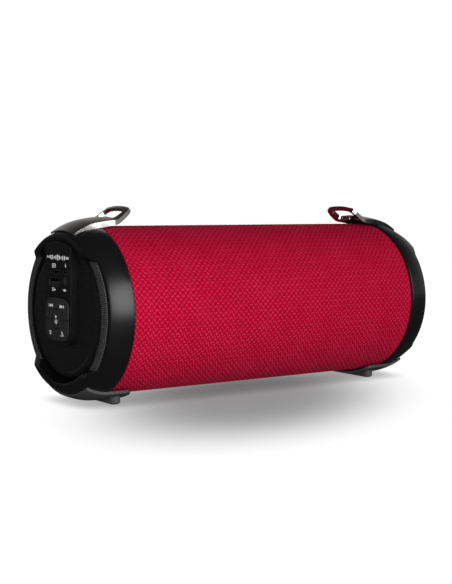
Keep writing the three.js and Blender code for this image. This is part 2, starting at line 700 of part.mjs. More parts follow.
// The tongue's outline: straight sides, round lower corners, and a top that runs up to the
// well of the cap, less or plus a clearance.
function panelOutline(offset) {
  const half = PANEL_HALF_WIDTH + offset;
  const bottom = PANEL_BOTTOM - offset;
  const corner = PANEL_CORNER + offset;
  const shape = new THREE.Shape();
  shape.moveTo(half, WELL_RADIUS * 1.2);
  shape.lineTo(-half, WELL_RADIUS * 1.2);
  shape.absarc(-half + corner, bottom + corner, corner, Math.PI, Math.PI * 1.5);
  shape.absarc(half - corner, bottom + corner, corner, Math.PI * 1.5, Math.PI * 2);
  return shape;
}

function keypadShape(offset) {
  return roundedRectangle(
    0, KEYPAD_CENTRE, KEYPAD_WIDTH + offset * 2, KEYPAD_HEIGHT + offset * 2, KEYPAD_CORNER + offset,
  );
}

function centreKeyShape(offset) {
  return roundedRectangle(0, KEYPAD_CENTRE, CENTRE_KEY_WIDTH + offset * 2,
    CENTRE_KEY_HEIGHT + offset * 2, CENTRE_KEY_CORNER + offset);
}

// A square hole for a socket, through the panel's face.
function socketHole({ y, z, width, height }) {
  const shape = roundedRectangle(y, z, width + GAP * 2, height + GAP * 2, 0.6);
  return alongX(shape, PANEL_INSIDE - 1, PANEL_FACE + 1);
}

function controlPanel() {
  const well = disc(WELL_RADIUS - GAP, PANEL_BACK, PANEL_FACE);
  const hollowWell = disc(WELL_RADIUS - GAP - PANEL_WALL, PANEL_BACK - 1, PANEL_INSIDE);
  const cuts = [
    alongX(panelOutline(-PANEL_WALL), PANEL_BACK - 1, PANEL_INSIDE).intersect(hollowWell),
    alongX(keypadShape(SLIDE_GAP), PANEL_INSIDE - 1, PANEL_FACE + 1),
    socketHole(USB),
    socketHole(CARD),
    socketHole(CHARGE),
    barX(JACK.radius + GAP, PANEL_INSIDE - 1, PANEL_FACE + 1, JACK.y, JACK.z),
  ];
  const tongue = alongX(panelOutline(0), PANEL_BACK, PANEL_FACE).intersect(well);
  return cuts.reduce((shape, cut) => shape.subtract(cut), tongue);
}

// The left grille leaves room for the control panel.
function notchedGrille() {
  return grille().subtract(alongX(panelOutline(GAP), 0, PANEL_FACE));
}

// A pressed shell, open at the panel's face and closed at the board.
function socketShell({ y, z, width, height }) {
  const inside = SOCKET_SHEET * 2;
  const outer = alongX(roundedRectangle(y, z, width, height, 0.5), SOCKET_BACK, SOCKET_FRONT);
  const inner = roundedRectangle(y, z, width - inside, height - inside, 0.3);
  return outer.subtract(alongX(inner, SOCKET_BACK + 1, SOCKET_FRONT + 1));
}

function usbSocket() {
  const { y, z } = USB;
  const { width, height, recess } = USB_TONGUE;
  const low = z - height / 2 + 0.6;
  const tongue = block(SOCKET_BACK + 0.5, SOCKET_FRONT - recess, y - width / 2, y + width / 2,
    low, low + height);
  return socketShell(USB).add(tongue);
}

function audioJack() {
  const { y, z, radius, bore, floor } = JACK;
  return barX(radius, SOCKET_BACK, SOCKET_FRONT, y, z, SMALL_SEGMENTS * 2)
    .subtract(barX(bore, SOCKET_BACK + floor, SOCKET_FRONT + 1, y, z, SMALL_SEGMENTS * 2));
}

// One quarter of the keypad, less the centre key: across and up are each 1 or -1.
function cornerKey(across, up) {
  const from = PANEL_FACE + KEY_PROUD - KEY_THICKNESS;
  const to = from + KEY_THICKNESS;
  const seam = SLIDE_GAP / 2;
  const far = KEYPAD_WIDTH;
  const quarter = block(from - 1, to + 1,
    across > 0 ? seam : -far, across > 0 ? far : -seam,
    KEYPAD_CENTRE + (up > 0 ? seam : -far), KEYPAD_CENTRE + (up > 0 ? far : -seam));
  return alongX(keypadShape(0), from, to)
    .intersect(quarter)
    .subtract(alongX(centreKeyShape(SLIDE_GAP), from - 1, to + 1));
}

function centreKey() {
  const from = PANEL_FACE + KEY_PROUD - KEY_THICKNESS;
  return alongX(centreKeyShape(0), from, from + KEY_THICKNESS);
}

function keyPlate(from, thickness) {
  const half = PANEL_HALF_WIDTH - PANEL_WALL - GAP;
  const bottom = PANEL_BOTTOM + PANEL_WALL + GAP;
  const top = KEYPAD_CENTRE + KEYPAD_HEIGHT / 2 + 1.5;
  const shape = roundedRectangle(
    0, (top + bottom) / 2, half * 2, top - bottom, PANEL_CORNER - PANEL_WALL,
  );
  return alongX(shape, from, from + thickness);
}

function portBoard() {
  const half = PANEL_HALF_WIDTH - PANEL_WALL - GAP;
  return block(PORT_BOARD_FRONT - BOARD_THICKNESS, PORT_BOARD_FRONT, -half, half,
    JACK.z - 9, CHARGE.z + 9);
}

function panelPieces() {
  const keyBack = PANEL_FACE + KEY_PROUD - KEY_THICKNESS;
  const matBack = keyBack - KEY_TRAVEL - GAP - MAT_THICKNESS;
  return [
    part('left_grille', notchedGrille(), grilleBlack),
    part('control_panel', controlPanel(), satinBlack),
    part('keypad_mat', keyPlate(matBack, MAT_THICKNESS), rubber),
    part('key_board', keyPlate(matBack - GAP - BOARD_THICKNESS, BOARD_THICKNESS), boardGreen),
    part('port_board', portBoard(), boardGreen),
    part('usb_socket', usbSocket(), steel),
    part('card_socket', socketShell(CARD), steel),
    part('charge_socket', socketShell(CHARGE), steel),
    part('audio_jack', audioJack(), plainPlastic),
    part('key_previous', cornerKey(-1, 1), keyGrey),
    part('key_next', cornerKey(1, 1), keyGrey),
    part('key_mode', cornerKey(-1, -1), keyGrey),
    part('key_pair', cornerKey(1, -1), keyGrey),
    part('key_play', centreKey(), keyGrey),
  ];
}

// ---------------------------------------------------------------- inside the tube

// A plate whose two legs stand on the inside of the tube, with rails under the main board.
function tray() {
  const reach = TUBE_INNER - GAP;
  const footAt = (y) => -Math.sqrt(reach ** 2 - y ** 2);
  const outer = TRAY_HALF_WIDTH;
  const inner = TRAY_HALF_WIDTH - TRAY_PLATE;
  const under = TRAY_TOP - TRAY_PLATE;
  const profile = outlineShape([
    [outer, TRAY_TOP], [-outer, TRAY_TOP], [-outer, footAt(outer)], [-inner, footAt(inner)],
    [-inner, under], [inner, under], [inner, footAt(inner)], [outer, footAt(outer)],
  ]);
  const plate = alongX(profile, TRAY_MARGIN - LIP, LIP - TRAY_MARGIN);
  const { length, width } = MAIN_BOARD;
  return [-1, 1].reduce((shape, side) => {
    const y = side * (width / 2 - RAIL_WIDTH);
    return shape.add(block(BOARD_LEFT, BOARD_LEFT + length, y - RAIL_WIDTH / 2,
      y + RAIL_WIDTH / 2, TRAY_TOP - 1, TRAY_TOP + RAIL_HEIGHT));
  }, plate);
}

function mainBoard() {
  const { length, width } = MAIN_BOARD;
  const from = TRAY_TOP + RAIL_HEIGHT + GAP;
  const to = from + BOARD_THICKNESS;
  return block(BOARD_LEFT, BOARD_LEFT + length, -width / 2, width / 2, from, to);
}

const cellAxis = TRAY_TOP + GAP + HOLDER_WALL + GAP + CELL_RADIUS;
const cellSpacing = CELL_RADIUS * 2 + 1;
const cellLeft = CELL_HOLDER_LEFT + HOLDER_WALL + GAP;

function batteryHolder() {
  const half = cellSpacing / 2 + CELL_RADIUS + GAP + HOLDER_WALL;
  const right = cellLeft + CELL_LENGTH + GAP + HOLDER_WALL;
  const body = block(CELL_HOLDER_LEFT, right, -half, half, TRAY_TOP + GAP, cellAxis);
  return [-1, 1].reduce((shape, side) => shape.subtract(barX(
    CELL_RADIUS + GAP, cellLeft - GAP, cellLeft + CELL_LENGTH + GAP,
    side * cellSpacing / 2, cellAxis, SMALL_SEGMENTS * 2,
  )), body);
}

function batteryCell(side) {
  const geometry = new THREE.LatheGeometry(polygon([
    [0, cellLeft], [CELL_RADIUS, cellLeft], [CELL_RADIUS, cellLeft + CELL_LENGTH - 1.2],
    [2.8, cellLeft + CELL_LENGTH - 1.2], [2.8, cellLeft + CELL_LENGTH],
    [0, cellLeft + CELL_LENGTH],
  ]).getPoints(), SMALL_SEGMENTS * 2);
  return solid(geometry.rotateZ(-Math.PI / 2).translate(0, side * cellSpacing / 2, cellAxis));
}

// A lead between two pieces inside the tube, round in section, through chosen points.
function lead(points) {
  const path = new THREE.CatmullRomCurve3(points.map((p) => new THREE.Vector3(...p)));
  const section = new THREE.Shape(Array.from({ length: LEAD_SIDES }, (_, i) => {
    const angle = (i * 2 * Math.PI) / LEAD_SIDES;
    return new THREE.Vector2(LEAD_RADIUS * Math.cos(angle), LEAD_RADIUS * Math.sin(angle));
  }));
  return solid(new THREE.ExtrudeGeometry(section, {
    steps: LEAD_STEPS, extrudePath: path, bevelEnabled: false,
  }));
}

const boardTop = TRAY_TOP + RAIL_HEIGHT + GAP + BOARD_THICKNESS + GAP;
const boardRight = BOARD_LEFT + MAIN_BOARD.length;
const basketSide = -LIP - FLANGE_FRONT + BASKET_DEPTH - 8;

function leftDriverLead() {
  const x = BOARD_LEFT + 6;
  return lead([
    [x, -12, boardTop],
    [x, -12, boardTop + 4],
    [x - 12, -20, boardTop + 6],
    [x - 24, -24, boardTop + 5],
    [basketSide, -23, boardTop + 5.5],
  ]);
}

function rightDriverLead() {
  const x = boardRight - 6;
  return lead([
    [x, 12, boardTop],
    [x, 12, boardTop + 4],
    [CELL_HOLDER_LEFT, 25, boardTop + 3],
    [CELL_HOLDER_LEFT + 20, 28, boardTop + 2],
    [CELL_HOLDER_LEFT + 48, 28, boardTop + 2],
    [CELL_HOLDER_LEFT + 74, 26, boardTop + 4],
    [-basketSide, 23, boardTop + 5.5],
  ]);
}

function panelLead() {
  const start = -LIP - (PORT_BOARD_FRONT - BOARD_THICKNESS - GAP);
  const x = BOARD_LEFT + 14;
  return lead([
    [start, 0, CARD.z],
    [start + 3, 0, CARD.z],
    [-LIP + 1, 0, LEAD_HOLE_HEIGHT - 8],
    [-LIP - BAFFLE_FACE - 2, 0, LEAD_HOLE_HEIGHT],
    [-LIP - BAFFLE_FACE + BAFFLE_THICKNESS + 3, 0, LEAD_HOLE_HEIGHT],
    [-LIP + 34, 0, LEAD_HOLE_HEIGHT - 4],
    [BOARD_LEFT - 2, 4, LEAD_HOLE_HEIGHT - 12],
    [x - 2, 8, 8],
    [x, 8, boardTop + 12],
    [x, 8, boardTop],
  ]);
}

function batteryLead() {
  const z = cellAxis - 3;
  const x = boardRight - 5;
  return lead([
    [CELL_HOLDER_LEFT - GAP, -6, z],
    [CELL_HOLDER_LEFT - 2, -6, z],
    [x, -6, boardTop + 4],
    [x, -6, boardTop],
  ]);
}

// ---------------------------------------------------------------- assembly

const leftEnd = new THREE.Group();
leftEnd.add(...endPieces('left'), ...panelPieces());
leftEnd.rotation.z = Math.PI;
leftEnd.position.x = -LIP;

const rightEnd = new THREE.Group();
rightEnd.add(...endPieces('right'), part('right_grille', grille(), grilleBlack));
rightEnd.position.x = LIP;

const tubeEnd = LIP + CAP_OVERLAP;
const sleeveEnd = LIP - GAP;
const speaker = new THREE.Group();
speaker.add(
  part('body_tube', ring(TUBE_INNER, TUBE_OUTER, -tubeEnd, tubeEnd), plainPlastic),
  part('fabric_sleeve', ring(TUBE_OUTER + GAP, FABRIC_RADIUS, -sleeveEnd, sleeveEnd), crimsonFabric),
  leftEnd,
  rightEnd,
  part('equipment_tray', tray(), plainPlastic),
  part('main_board', mainBoard(), boardGreen),
  part('battery_holder', batteryHolder(), plainPlastic),
  part('battery_cell_1', batteryCell(-1), cellBlue),
  part('battery_cell_2', batteryCell(1), cellBlue),
  part('battery_lead', batteryLead(), rubber),
  part('left_driver_lead', leftDriverLead(), rubber),
  part('right_driver_lead', rightDriverLead(), rubber),
  part('panel_lead', panelLead(), rubber),
);

// The keys stand proud of one end only, so the origin goes under the middle of the whole.
speaker.position.z = AXIS_HEIGHT;
const box = new THREE.Box3().setFromObject(speaker);
speaker.position.x = -(box.min.x + box.max.x) / 2;

export default speaker;
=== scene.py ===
"""Finished look of a portable tube speaker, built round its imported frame.

The tube lies along X and stands on Z = 0, with its front to -Y and its controls at the -X end.
Each end of the speaker is worked out in its own frame: u runs out of the end from the edge of
the cloth, y is across and z is up from the axis of the tube.
"""

import json
import math

import bmesh
import bpy
import numpy as np
from bpy.props import FloatProperty, FloatVectorProperty, IntProperty, PointerProperty
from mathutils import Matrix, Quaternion, Vector
from mathutils.geometry import delaunay_2d_cdt


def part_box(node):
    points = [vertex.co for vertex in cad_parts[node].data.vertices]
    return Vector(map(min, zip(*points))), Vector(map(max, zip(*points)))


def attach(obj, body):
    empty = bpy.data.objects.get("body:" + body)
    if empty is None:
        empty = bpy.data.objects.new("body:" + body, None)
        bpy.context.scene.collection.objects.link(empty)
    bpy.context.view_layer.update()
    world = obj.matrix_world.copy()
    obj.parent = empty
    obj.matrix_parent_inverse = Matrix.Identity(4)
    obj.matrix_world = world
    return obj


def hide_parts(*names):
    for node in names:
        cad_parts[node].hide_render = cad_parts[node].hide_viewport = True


bl_info = {
    "name": "Tube Speaker",
    "version": (1, 0, 0),
    "blender": (4, 5, 0),
    "location": "View3D > Sidebar > Speaker",
    "description": "Builds the finished pieces of a portable tube speaker round its frame",
    "category": "Object",
}

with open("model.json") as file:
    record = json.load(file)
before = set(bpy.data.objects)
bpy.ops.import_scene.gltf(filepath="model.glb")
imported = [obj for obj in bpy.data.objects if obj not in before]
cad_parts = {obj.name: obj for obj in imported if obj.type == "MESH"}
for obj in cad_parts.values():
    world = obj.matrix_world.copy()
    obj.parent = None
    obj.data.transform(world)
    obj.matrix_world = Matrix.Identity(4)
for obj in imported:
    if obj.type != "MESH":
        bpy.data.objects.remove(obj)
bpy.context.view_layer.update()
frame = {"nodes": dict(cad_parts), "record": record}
NODES = frame["nodes"]
HOUSING = "housing"
MM = 0.001

# Where the frame puts the tube and its ends.
GAP = 0.3 * MM
CLOTH_LOW, CLOTH_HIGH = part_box("fabric_sleeve")
MIDDLE_X = (CLOTH_LOW.x + CLOTH_HIGH.x) / 2
AXIS_Z = (CLOTH_LOW.z + CLOTH_HIGH.z) / 2
CLOTH_RADIUS = (CLOTH_HIGH.z - CLOTH_LOW.z) / 2
LIP = (CLOTH_HIGH.x - CLOTH_LOW.x) / 2 + GAP
CAP_LOW, CAP_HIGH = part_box("right_cap")
CAP_RADIUS = (CAP_HIGH.z - CAP_LOW.z) / 2
CAP_LENGTH = CAP_HIGH.x - MIDDLE_X - LIP
SIDES = ("left", "right")


def node_span(node):
    """A left-end node's box in that end's own frame: (lowest u, y, z), (highest u, y, z)."""
    low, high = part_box(node)
    out = MIDDLE_X - LIP
    return (
        Vector((out - high.x, -high.y, low.z - AXIS_Z)),
        Vector((out - low.x, -low.y, high.z - AXIS_Z)),
    )


# ---------------------------------------------------------------- sizes and colours


def length(name, description, default):
    """A length in metres, given in millimetres."""
    return FloatProperty(
        name=name, description=description, default=default * MM, unit="LENGTH", precision=5
    )


def count(name, description, default):
    """A whole number of things, at least one."""
    return IntProperty(name=name, description=description, default=default, min=1)


def number(name, description, default):
    """A plain number, whose unit its description gives."""
    return FloatProperty(name=name, description=description, default=default)


def colour(name, description, default):
    """A colour as linear red, green and blue."""
    return FloatVectorProperty(
        name=name, description=description, subtype="COLOR", size=3, min=0.0, max=1.0, default=default
    )


class ClothSizes(bpy.types.PropertyGroup):
    cells_round: count("Cells round", "Weave cells round the tube", 86)
    cells_along: count("Cells along", "Weave cells along the tube", 58)
    relief: length("Relief", "Depth of the weave's openings", 0.2)
    tuck: length("Tuck", "How far the cloth's ends turn in under the lips", 0.7)
    tuck_run: length("Tuck run", "Length over which the ends turn in", 1.6)
    thickness: length("Thickness", "Thickness of the cloth and its backing", 1.4)
    seam_width: length("Seam width", "Width of the seam tape under the tube", 5.0)
    seam_height: length("Seam height", "How proud the seam tape stands", 0.35)
    stitch_pitch: length("Stitch pitch", "From one stitch to the next", 3.4)


class CapSizes(bpy.types.PropertyGroup):
    taper: length("Taper", "How far the tabs lean in at their ends", 4.8)
    wall: length("Wall", "Wall of the barrel", 2.8)
    rim_width: length("Rim width", "From the outside of the lip in to the well", 10.7)
    web: length("Web", "Thickness of the ring behind the grille", 3.0)
    web_back: length("Web back", "Back of that ring, from the lip", 5.3)
    web_width: length("Web width", "Width of that ring", 8.9)
    rim_reach: length("Rim reach", "The low rim between the tabs, from the lip", 17.0)
    tab_drop: length("Tab drop", "From the outside of the lip down to the tabs' ends", 18.9)
    tab_slope: length("Tab slope", "How much the sides of the tabs lean", 5.0)
    edge: length("Edge", "Rounding of the edges", 0.6)


class TrimSizes(bpy.types.PropertyGroup):
    width: length("Width", "Width of the ribbed trim", 5.4)
    thickness: length("Thickness", "Thickness beside the well", 1.7)
    outer_edge: length("Outer edge", "Thickness at the outer edge", 0.9)
    rib: length("Rib", "Height of the ribs", 0.45)
    ribs: count("Ribs", "Number of ribs in a whole turn", 220)


class GrilleSizes(bpy.types.PropertyGroup):
    margin: length("Margin", "Groove round the grille", 3.3)
    face: length("Face", "Edge of the face, from the lip", 18.3)
    crown: length("Crown", "Rise of the face to its middle", 1.1)
    roll: length("Roll", "Radius of the rolled edge", 3.0)
    sheet: length("Sheet", "Thickness of the sheet", 0.5)
    pitch: length("Pitch", "From one hole to the next along a row", 1.5)
    hole: length("Hole", "Radius of a hole", 0.47)
    rows: count("Rows", "Rows of holes over the rolled edge", 6)


class BracketSizes(bpy.types.PropertyGroup):
    end: length("End", "Thickness at the end on the cap", 1.0)
    middle: length("Middle", "Thickness over the lip", 3.8)
    tip: length("Tip", "Thickness at the loop's tip", 2.4)
    tip_round: length("Tip round", "Length over which the tip rounds off", 1.3)
    reach: length("Reach", "Over the cap, from the lip", 20.5)
    half_width: length("Half width", "Half of the width on the cap", 15.1)
    arm: length("Arm", "Half of the width at the neck", 16.4)
    over: length("Over", "Reach over the cloth, from the lip", 25.0)
    rise: length("Rise", "Rise of the loop's tip", 10.8)
    neck: length("Neck", "Where the loop starts to rise", 12.2)
    neck_rise: length("Neck rise", "Rise at the neck", 2.1)
    corner: length("Corner", "Corner radius of the tip", 6.0)
    slot_start: length("Slot start", "Start of the strap slot, from the lip", 12.0)
    slot_end: length("Slot end", "End of the strap slot, from the lip", 22.0)
    slot_half: length("Slot half", "Half of the strap slot's length", 11.2)
    slot_corner: length("Slot corner", "Corner radius of the strap slot", 3.0)
    edge: length("Edge", "Rounding of the edges", 0.45)


class FootSizes(bpy.types.PropertyGroup):
    plate: length("Plate", "Thickness of the plate under the cap", 1.8)
    half_width: length("Half width", "Half of the plate's width", 28.0)
    reach: length("Reach", "Plate over the cap, from the lip", 18.0)
    ear: length("Ear", "Plate under the cloth, from the lip", 17.0)
    corner: length("Corner", "Corner radius of the plate", 5.0)
    bar_half: length("Bar half", "Half of the bar's length", 22.0)
    bar_width: length("Bar width", "Width of the bar", 7.8)
    bar_inset: length("Bar inset", "The bar's near edge, from the lip", 4.8)
    pad_margin: length("Pad margin", "Edge of the bar round the rubber", 1.2)
    pad_proud: length("Pad proud", "How proud the rubber stands", 0.8)
    edge: length("Edge", "Rounding of the edges", 0.5)


class PanelSizes(bpy.types.PropertyGroup):
    corner: length("Corner", "Radius of the lower corners", 7.0)
    wall: length("Wall", "Thickness of the panel's face", 2.0)
    side_wall: length("Side wall", "Thickness of the panel's sides", 1.3)
    edge: length("Edge", "Rounding of the panel's edges", 0.55)
    key_gap: length("Key gap", "Round the keys", 0.4)
    keypad_corner: length("Keypad corner", "Corner radius of the keypad", 7.0)
    centre_corner: length("Centre corner", "Corner radius of the centre key", 3.0)
    key_edge: length("Key edge", "Rounding of the keys' edges", 0.7)
    key_crown: length("Key crown", "How far the keys bulge", 0.35)
    mark: length("Mark", "Thickness of the printed marks", 0.05)
    stroke: length("Stroke", "Width of the lines in the marks", 0.42)


class Colours(bpy.types.PropertyGroup):
    cloth: colour("Cloth", "Yarn of the sleeve", (0.39, 0.0006, 0.024))
    # Painted shade in the weave's openings.
    cloth_opening_shade: colour("Cloth deep", "Openings of the weave", (0.22, 0.0002, 0.008))
    plastic: colour("Plastic", "Satin plastic of the caps and panel", (0.004, 0.004, 0.0043))
    trim: colour("Trim", "Ribbed trims", (0.035, 0.035, 0.037))
    mesh: colour("Mesh", "Powder coat of the grilles", (0.006, 0.006, 0.0065))
    chrome: colour("Chrome", "Strap brackets", (0.62, 0.59, 0.575))
    rubber: colour("Rubber", "Foot pads and leads", (0.012, 0.012, 0.012))
    key: colour("Key", "Silicone of the keys", (0.017, 0.0175, 0.0185))
    mark: colour("Mark", "Printed marks", (0.88, 0.9, 0.94))
    steel: colour("Steel", "Plated steel", (0.46, 0.46, 0.47))
    nickel: colour("Nickel", "Shells of the sockets", (0.60, 0.59, 0.57))
    gold: colour("Gold", "Contacts", (0.70, 0.46, 0.16))
    paper: colour("Paper", "Driver cones and spiders", (0.03, 0.03, 0.032))
    ferrite: colour("Ferrite", "Magnets", (0.04, 0.04, 0.042))
    board: colour("Board", "Circuit boards", (0.01, 0.09, 0.03))
    inner: colour("Inner", "Unpainted plastic inside", (0.04, 0.04, 0.042))
    cell: colour("Cell", "Wrap of the battery cells", (0.03, 0.12, 0.35))
    floor: colour("Floor", "Floor of the studio", (0.06, 0.06, 0.06))


class StageSizes(bpy.types.PropertyGroup):
    azimuth: number("Azimuth", "Camera's turn round the object, in degrees", -36.925)
    elevation: number("Elevation", "Camera's height angle, in degrees", 4.6)
    roll: number("Roll", "Camera's roll, in degrees", 0.628)
    distance: number("Distance", "Camera to target, in metres", 0.9106)
    lens: number("Lens", "Focal length, in millimetres", 77.88)
    target_x: length("Target X", "Target, from the middle of the tube", -8.77)
    target_z: length("Target Z", "Target, from the axis of the tube", 8.0)
    key_power: number("Key power", "Front softbox, in watts", 15.0)
    key_azimuth: number("Key azimuth", "Front softbox's turn round the object, in degrees", 6.2)
    key_elevation: number("Key elevation", "Front softbox's height angle, in degrees", 18.0)
    key_width: number("Key width", "Width of the front softbox, in metres", 1.24)
    key_height: number("Key height", "Height of the front softbox, in metres", 0.9)
    fill_power: number("Fill power", "Overhead softbox, in watts", 0.5)
    back_power: number("Back power", "Softbox behind, in watts", 14.0)
    side_power: number("Side power", "Small lamp beside the controls' end, in watts", 2.0)
    floor_white: number("Floor white", "How bright the floor looks away from the object", 1.0)
    contact_reach: number("Contact reach", "How far the contact shadow spreads, in metres", 0.02)
    shade_depth: number("Shade depth", "How much the soft shade darkens the floor", 0.74)
    shade_x: number("Shade X", "Middle of the shade from the middle of the tube, in metres", -0.023)
    shade_y: number("Shade Y", "Middle of the shade, in metres", -0.046)
    shade_width: number("Shade width", "Reach of the shade one way, in metres", 0.089)
    shade_length: number("Shade length", "Reach of the shade the other way, in metres", 0.1585)
    shade_turn: number("Shade turn", "Turn of the shade on the floor, in degrees", -53.4)
    floor_glow: number("Floor glow", "Light that the floor gives back by itself", 0.3)
    horizon: number("Horizon", "Brightness of the room at the horizon", 0.3)
    zenith: number("Zenith", "Brightness of the room overhead", 0.03)
    end_dim: number("End dim", "Share of the brightness left beyond the controls' end", 0.25)
    dim_from: number("Dim from", "Sine of the height where the room starts to dim", 0.1)
    dim_to: number("Dim to", "Sine of the height where the room is dimmest", 0.8)


# ---------------------------------------------------------------- surfaces


def quads(rows, columns, wrap_rows=False, wrap_columns=False):
    """Faces of a grid whose vertex (i, j) has the number i * columns + j."""
    i = np.arange(rows if wrap_rows else rows - 1)[:, None]
    j = np.arange(columns if wrap_columns else columns - 1)[None, :]
    below, right = (i + 1) % rows, (j + 1) % columns
    corners = (i * columns + j, i * columns + right, below * columns + right, below * columns + j)
    return np.stack(np.broadcast_arrays(*corners), axis=-1).reshape(-1, 4)


def rounded(corners, radii, steps=4):
    """A closed outline with its corners rounded.

    Each corner P, with A and C a radius away from it along its two edges, becomes the curve
    A (1 - t)^2 + 2 P t (1 - t) + C t^2. Corners are arrays of the same shape, so that a whole
    family of outlines is rounded at once.
    """
    corner = np.stack([np.stack(np.broadcast_arrays(*c), axis=-1) for c in broadcast(corners)])
    radius = np.reshape(np.asarray(radii, float), (-1,) + (1,) * (corner.ndim - 1))

    def towards(other):
        """A radius along the side towards the next corner, and at most 0.45 of that side."""
        way = other - corner
        span = np.linalg.norm(way, axis=-1, keepdims=True)
        return corner + way / np.maximum(span, 1e-9) * np.minimum(radius, span * 0.45)

    start, end = towards(np.roll(corner, 1, axis=0)), towards(np.roll(corner, -1, axis=0))
    t = np.linspace(0, 1, steps).reshape((-1,) + (1,) * corner.ndim)
    curve = start * (1 - t) ** 2 + 2 * corner * t * (1 - t) + end * t**2
    return np.moveaxis(curve, 0, 1).reshape((-1,) + corner.shape[1:])


def broadcast(corners):
    """The corners' two coordinates, all brought to one shape."""
    flat = [np.asarray(value, float) for corner in corners for value in corner]
    flat = np.broadcast_arrays(*flat)
    return [(flat[2 * k], flat[2 * k + 1]) for k in range(len(flat) // 2)]


def round_box(centre_a, centre_b, width, height, corner, steps=7):
    """A rectangle with quarter circles at its corners, as an array of (a, b)."""
    a, b = width / 2 - corner, height / 2 - corner
    turn = np.linspace(0, np.pi / 2, steps)
    starts = np.repeat([0, np.pi / 2, np.pi, 1.5 * np.pi], steps) + np.tile(turn, 4)
    middle_a = centre_a + np.repeat([a, -a, -a, a], steps)
    middle_b = centre_b + np.repeat([b, b, -b, -b], steps)
    return np.stack([middle_a + corner * np.cos(starts), middle_b + corner * np.sin(starts)], axis=-1)


def circle(centre_a, centre_b, radius, steps):
    """A closed circle: the centre and a radius times (cos t, sin t)."""
    turn = np.linspace(0, 2 * np.pi, steps, endpoint=False)
    return np.stack([centre_a + radius * np.cos(turn), centre_b + radius * np.sin(turn)], axis=-1)


def even(loop, spacing):
    """A closed loop with points added so that no edge is longer than the spacing."""
    step = np.roll(loop, -1, axis=0) - loop
    spans = np.linalg.norm(step, axis=1)
    counts = np.where(spans > 1e-7, np.maximum(1, np.ceil(spans / spacing)), 0).astype(int)
    edge = np.repeat(np.arange(len(loop)), counts)
    place = np.arange(counts.sum()) - np.repeat(np.cumsum(counts) - counts, counts)
    return loop[edge] + step[edge] * (place * (1.0 / counts[edge]))[:, None]


def inside(points, loop):
    """Which points lie inside a closed loop, by the crossings of a ray along +a."""
    a, b = points[:, 0][:, None], points[:, 1][:, None]
    p, q = loop, np.roll(loop, -1, axis=0)
    crosses = (p[:, 1] > b) != (q[:, 1] > b)
    rise = np.where(q[:, 1] == p[:, 1], 1e-12, q[:, 1] - p[:, 1])
    at = p[:, 0] + (b - p[:, 1]) / rise * (q[:, 0] - p[:, 0])
    return (np.sum(crosses & (a < at), axis=1) % 2).astype(bool)


def clear_of(points, loop, distance):
    """Which points are at least a distance from every point of a loop."""
    apart = np.linalg.norm(points[:, None, :] - loop[None, :, :], axis=-1)
    return apart.min(axis=1) > distance


def filled(loops, spacing):
    """A flat area between an outer loop and holes, as (points, triangles, loop vertex numbers)."""
    outer, holes = loops[0], loops[1:]
    low, high = outer.min(axis=0), outer.max(axis=0)
    a = np.arange(low[0] + spacing / 2, high[0], spacing)
    b = np.arange(low[1] + spacing / 2, high[1], spacing)
    grid = np.stack(np.meshgrid(a, b, indexing="ij"), axis=-1).reshape(-1, 2)
    keep = inside(grid, outer) & clear_of(grid, np.concatenate(loops), spacing * 0.55)
    for hole in holes:
        keep &= ~inside(grid, hole)
    points = np.concatenate([*loops, grid[keep]])
    edges, numbers, start = [], [], 0
    for loop in loops:
        number_of = np.arange(start, start + len(loop))
        edges += np.stack([number_of, np.roll(number_of, -1)], axis=-1).tolist()
        numbers.append(number_of)
        start += len(loop)
    made = delaunay_2d_cdt(points.tolist(), edges, [], 0, 1e-9)
    faces = np.array(made[2])
    middles = points[faces].mean(axis=1)
    wanted = inside(middles, outer)
    for hole in holes:
        wanted &= ~inside(middles, hole)
    return points, faces[wanted], numbers


def band(upper, lower):
    """Faces between two loops of the same length, given by their vertex numbers."""
    return np.stack([upper, np.roll(upper, -1), np.roll(lower, -1), lower], axis=-1)


def plate(loops, spacing, top, bottom):
    """A plate between two surfaces, top(a, b) and bottom(a, b), over an area with holes."""
    points, faces, numbers = filled([even(loop, spacing) for loop in loops], spacing)
    verts = np.concatenate([top(points[:, 0], points[:, 1]), bottom(points[:, 0], points[:, 1])])
    walls = [band(n, n + len(points)) for n in numbers]
    return verts, [faces, faces[:, ::-1] + len(points), *walls]


def joined(*shapes):
    """Several (vertices, lists of faces) as one."""
    verts, faces, start = [], [], 0
    for shape_verts, shape_faces in shapes:
        verts.append(shape_verts)
        faces += [f + start for f in shape_faces]
        start += len(shape_verts)
    return np.concatenate(verts), faces


def on_end(side, u, y, z):
    """Points of one end's own frame, in the frame of the whole."""
    u, y, z = np.broadcast_arrays(u, y, z)
    if side == "left":
        return np.stack([MIDDLE_X - LIP - u, -y, AXIS_Z + z], axis=-1)
    return np.stack([MIDDLE_X + LIP + u, y, AXIS_Z + z], axis=-1)


def turned(side, radius, u, angle):
    """Points at a radius from the tube's axis; the angle starts at +y and rises to +z."""
    return on_end(side, u, radius * np.cos(angle), radius * np.sin(angle))


def lathe(side, profile, y=0.0, z=0.0, steps=48):
    """A closed outline of (radius, u) turned about a line along X."""
    radius, u = profile[:, 0][:, None], profile[:, 1][:, None]
    angle = np.linspace(0, 2 * np.pi, steps, endpoint=False)[None, :]
    points = on_end(side, u, y + radius * np.cos(angle), z + radius * np.sin(angle))
    return points.reshape(-1, 3), [quads(len(profile), steps, True, True)]


# ---------------------------------------------------------------- pieces


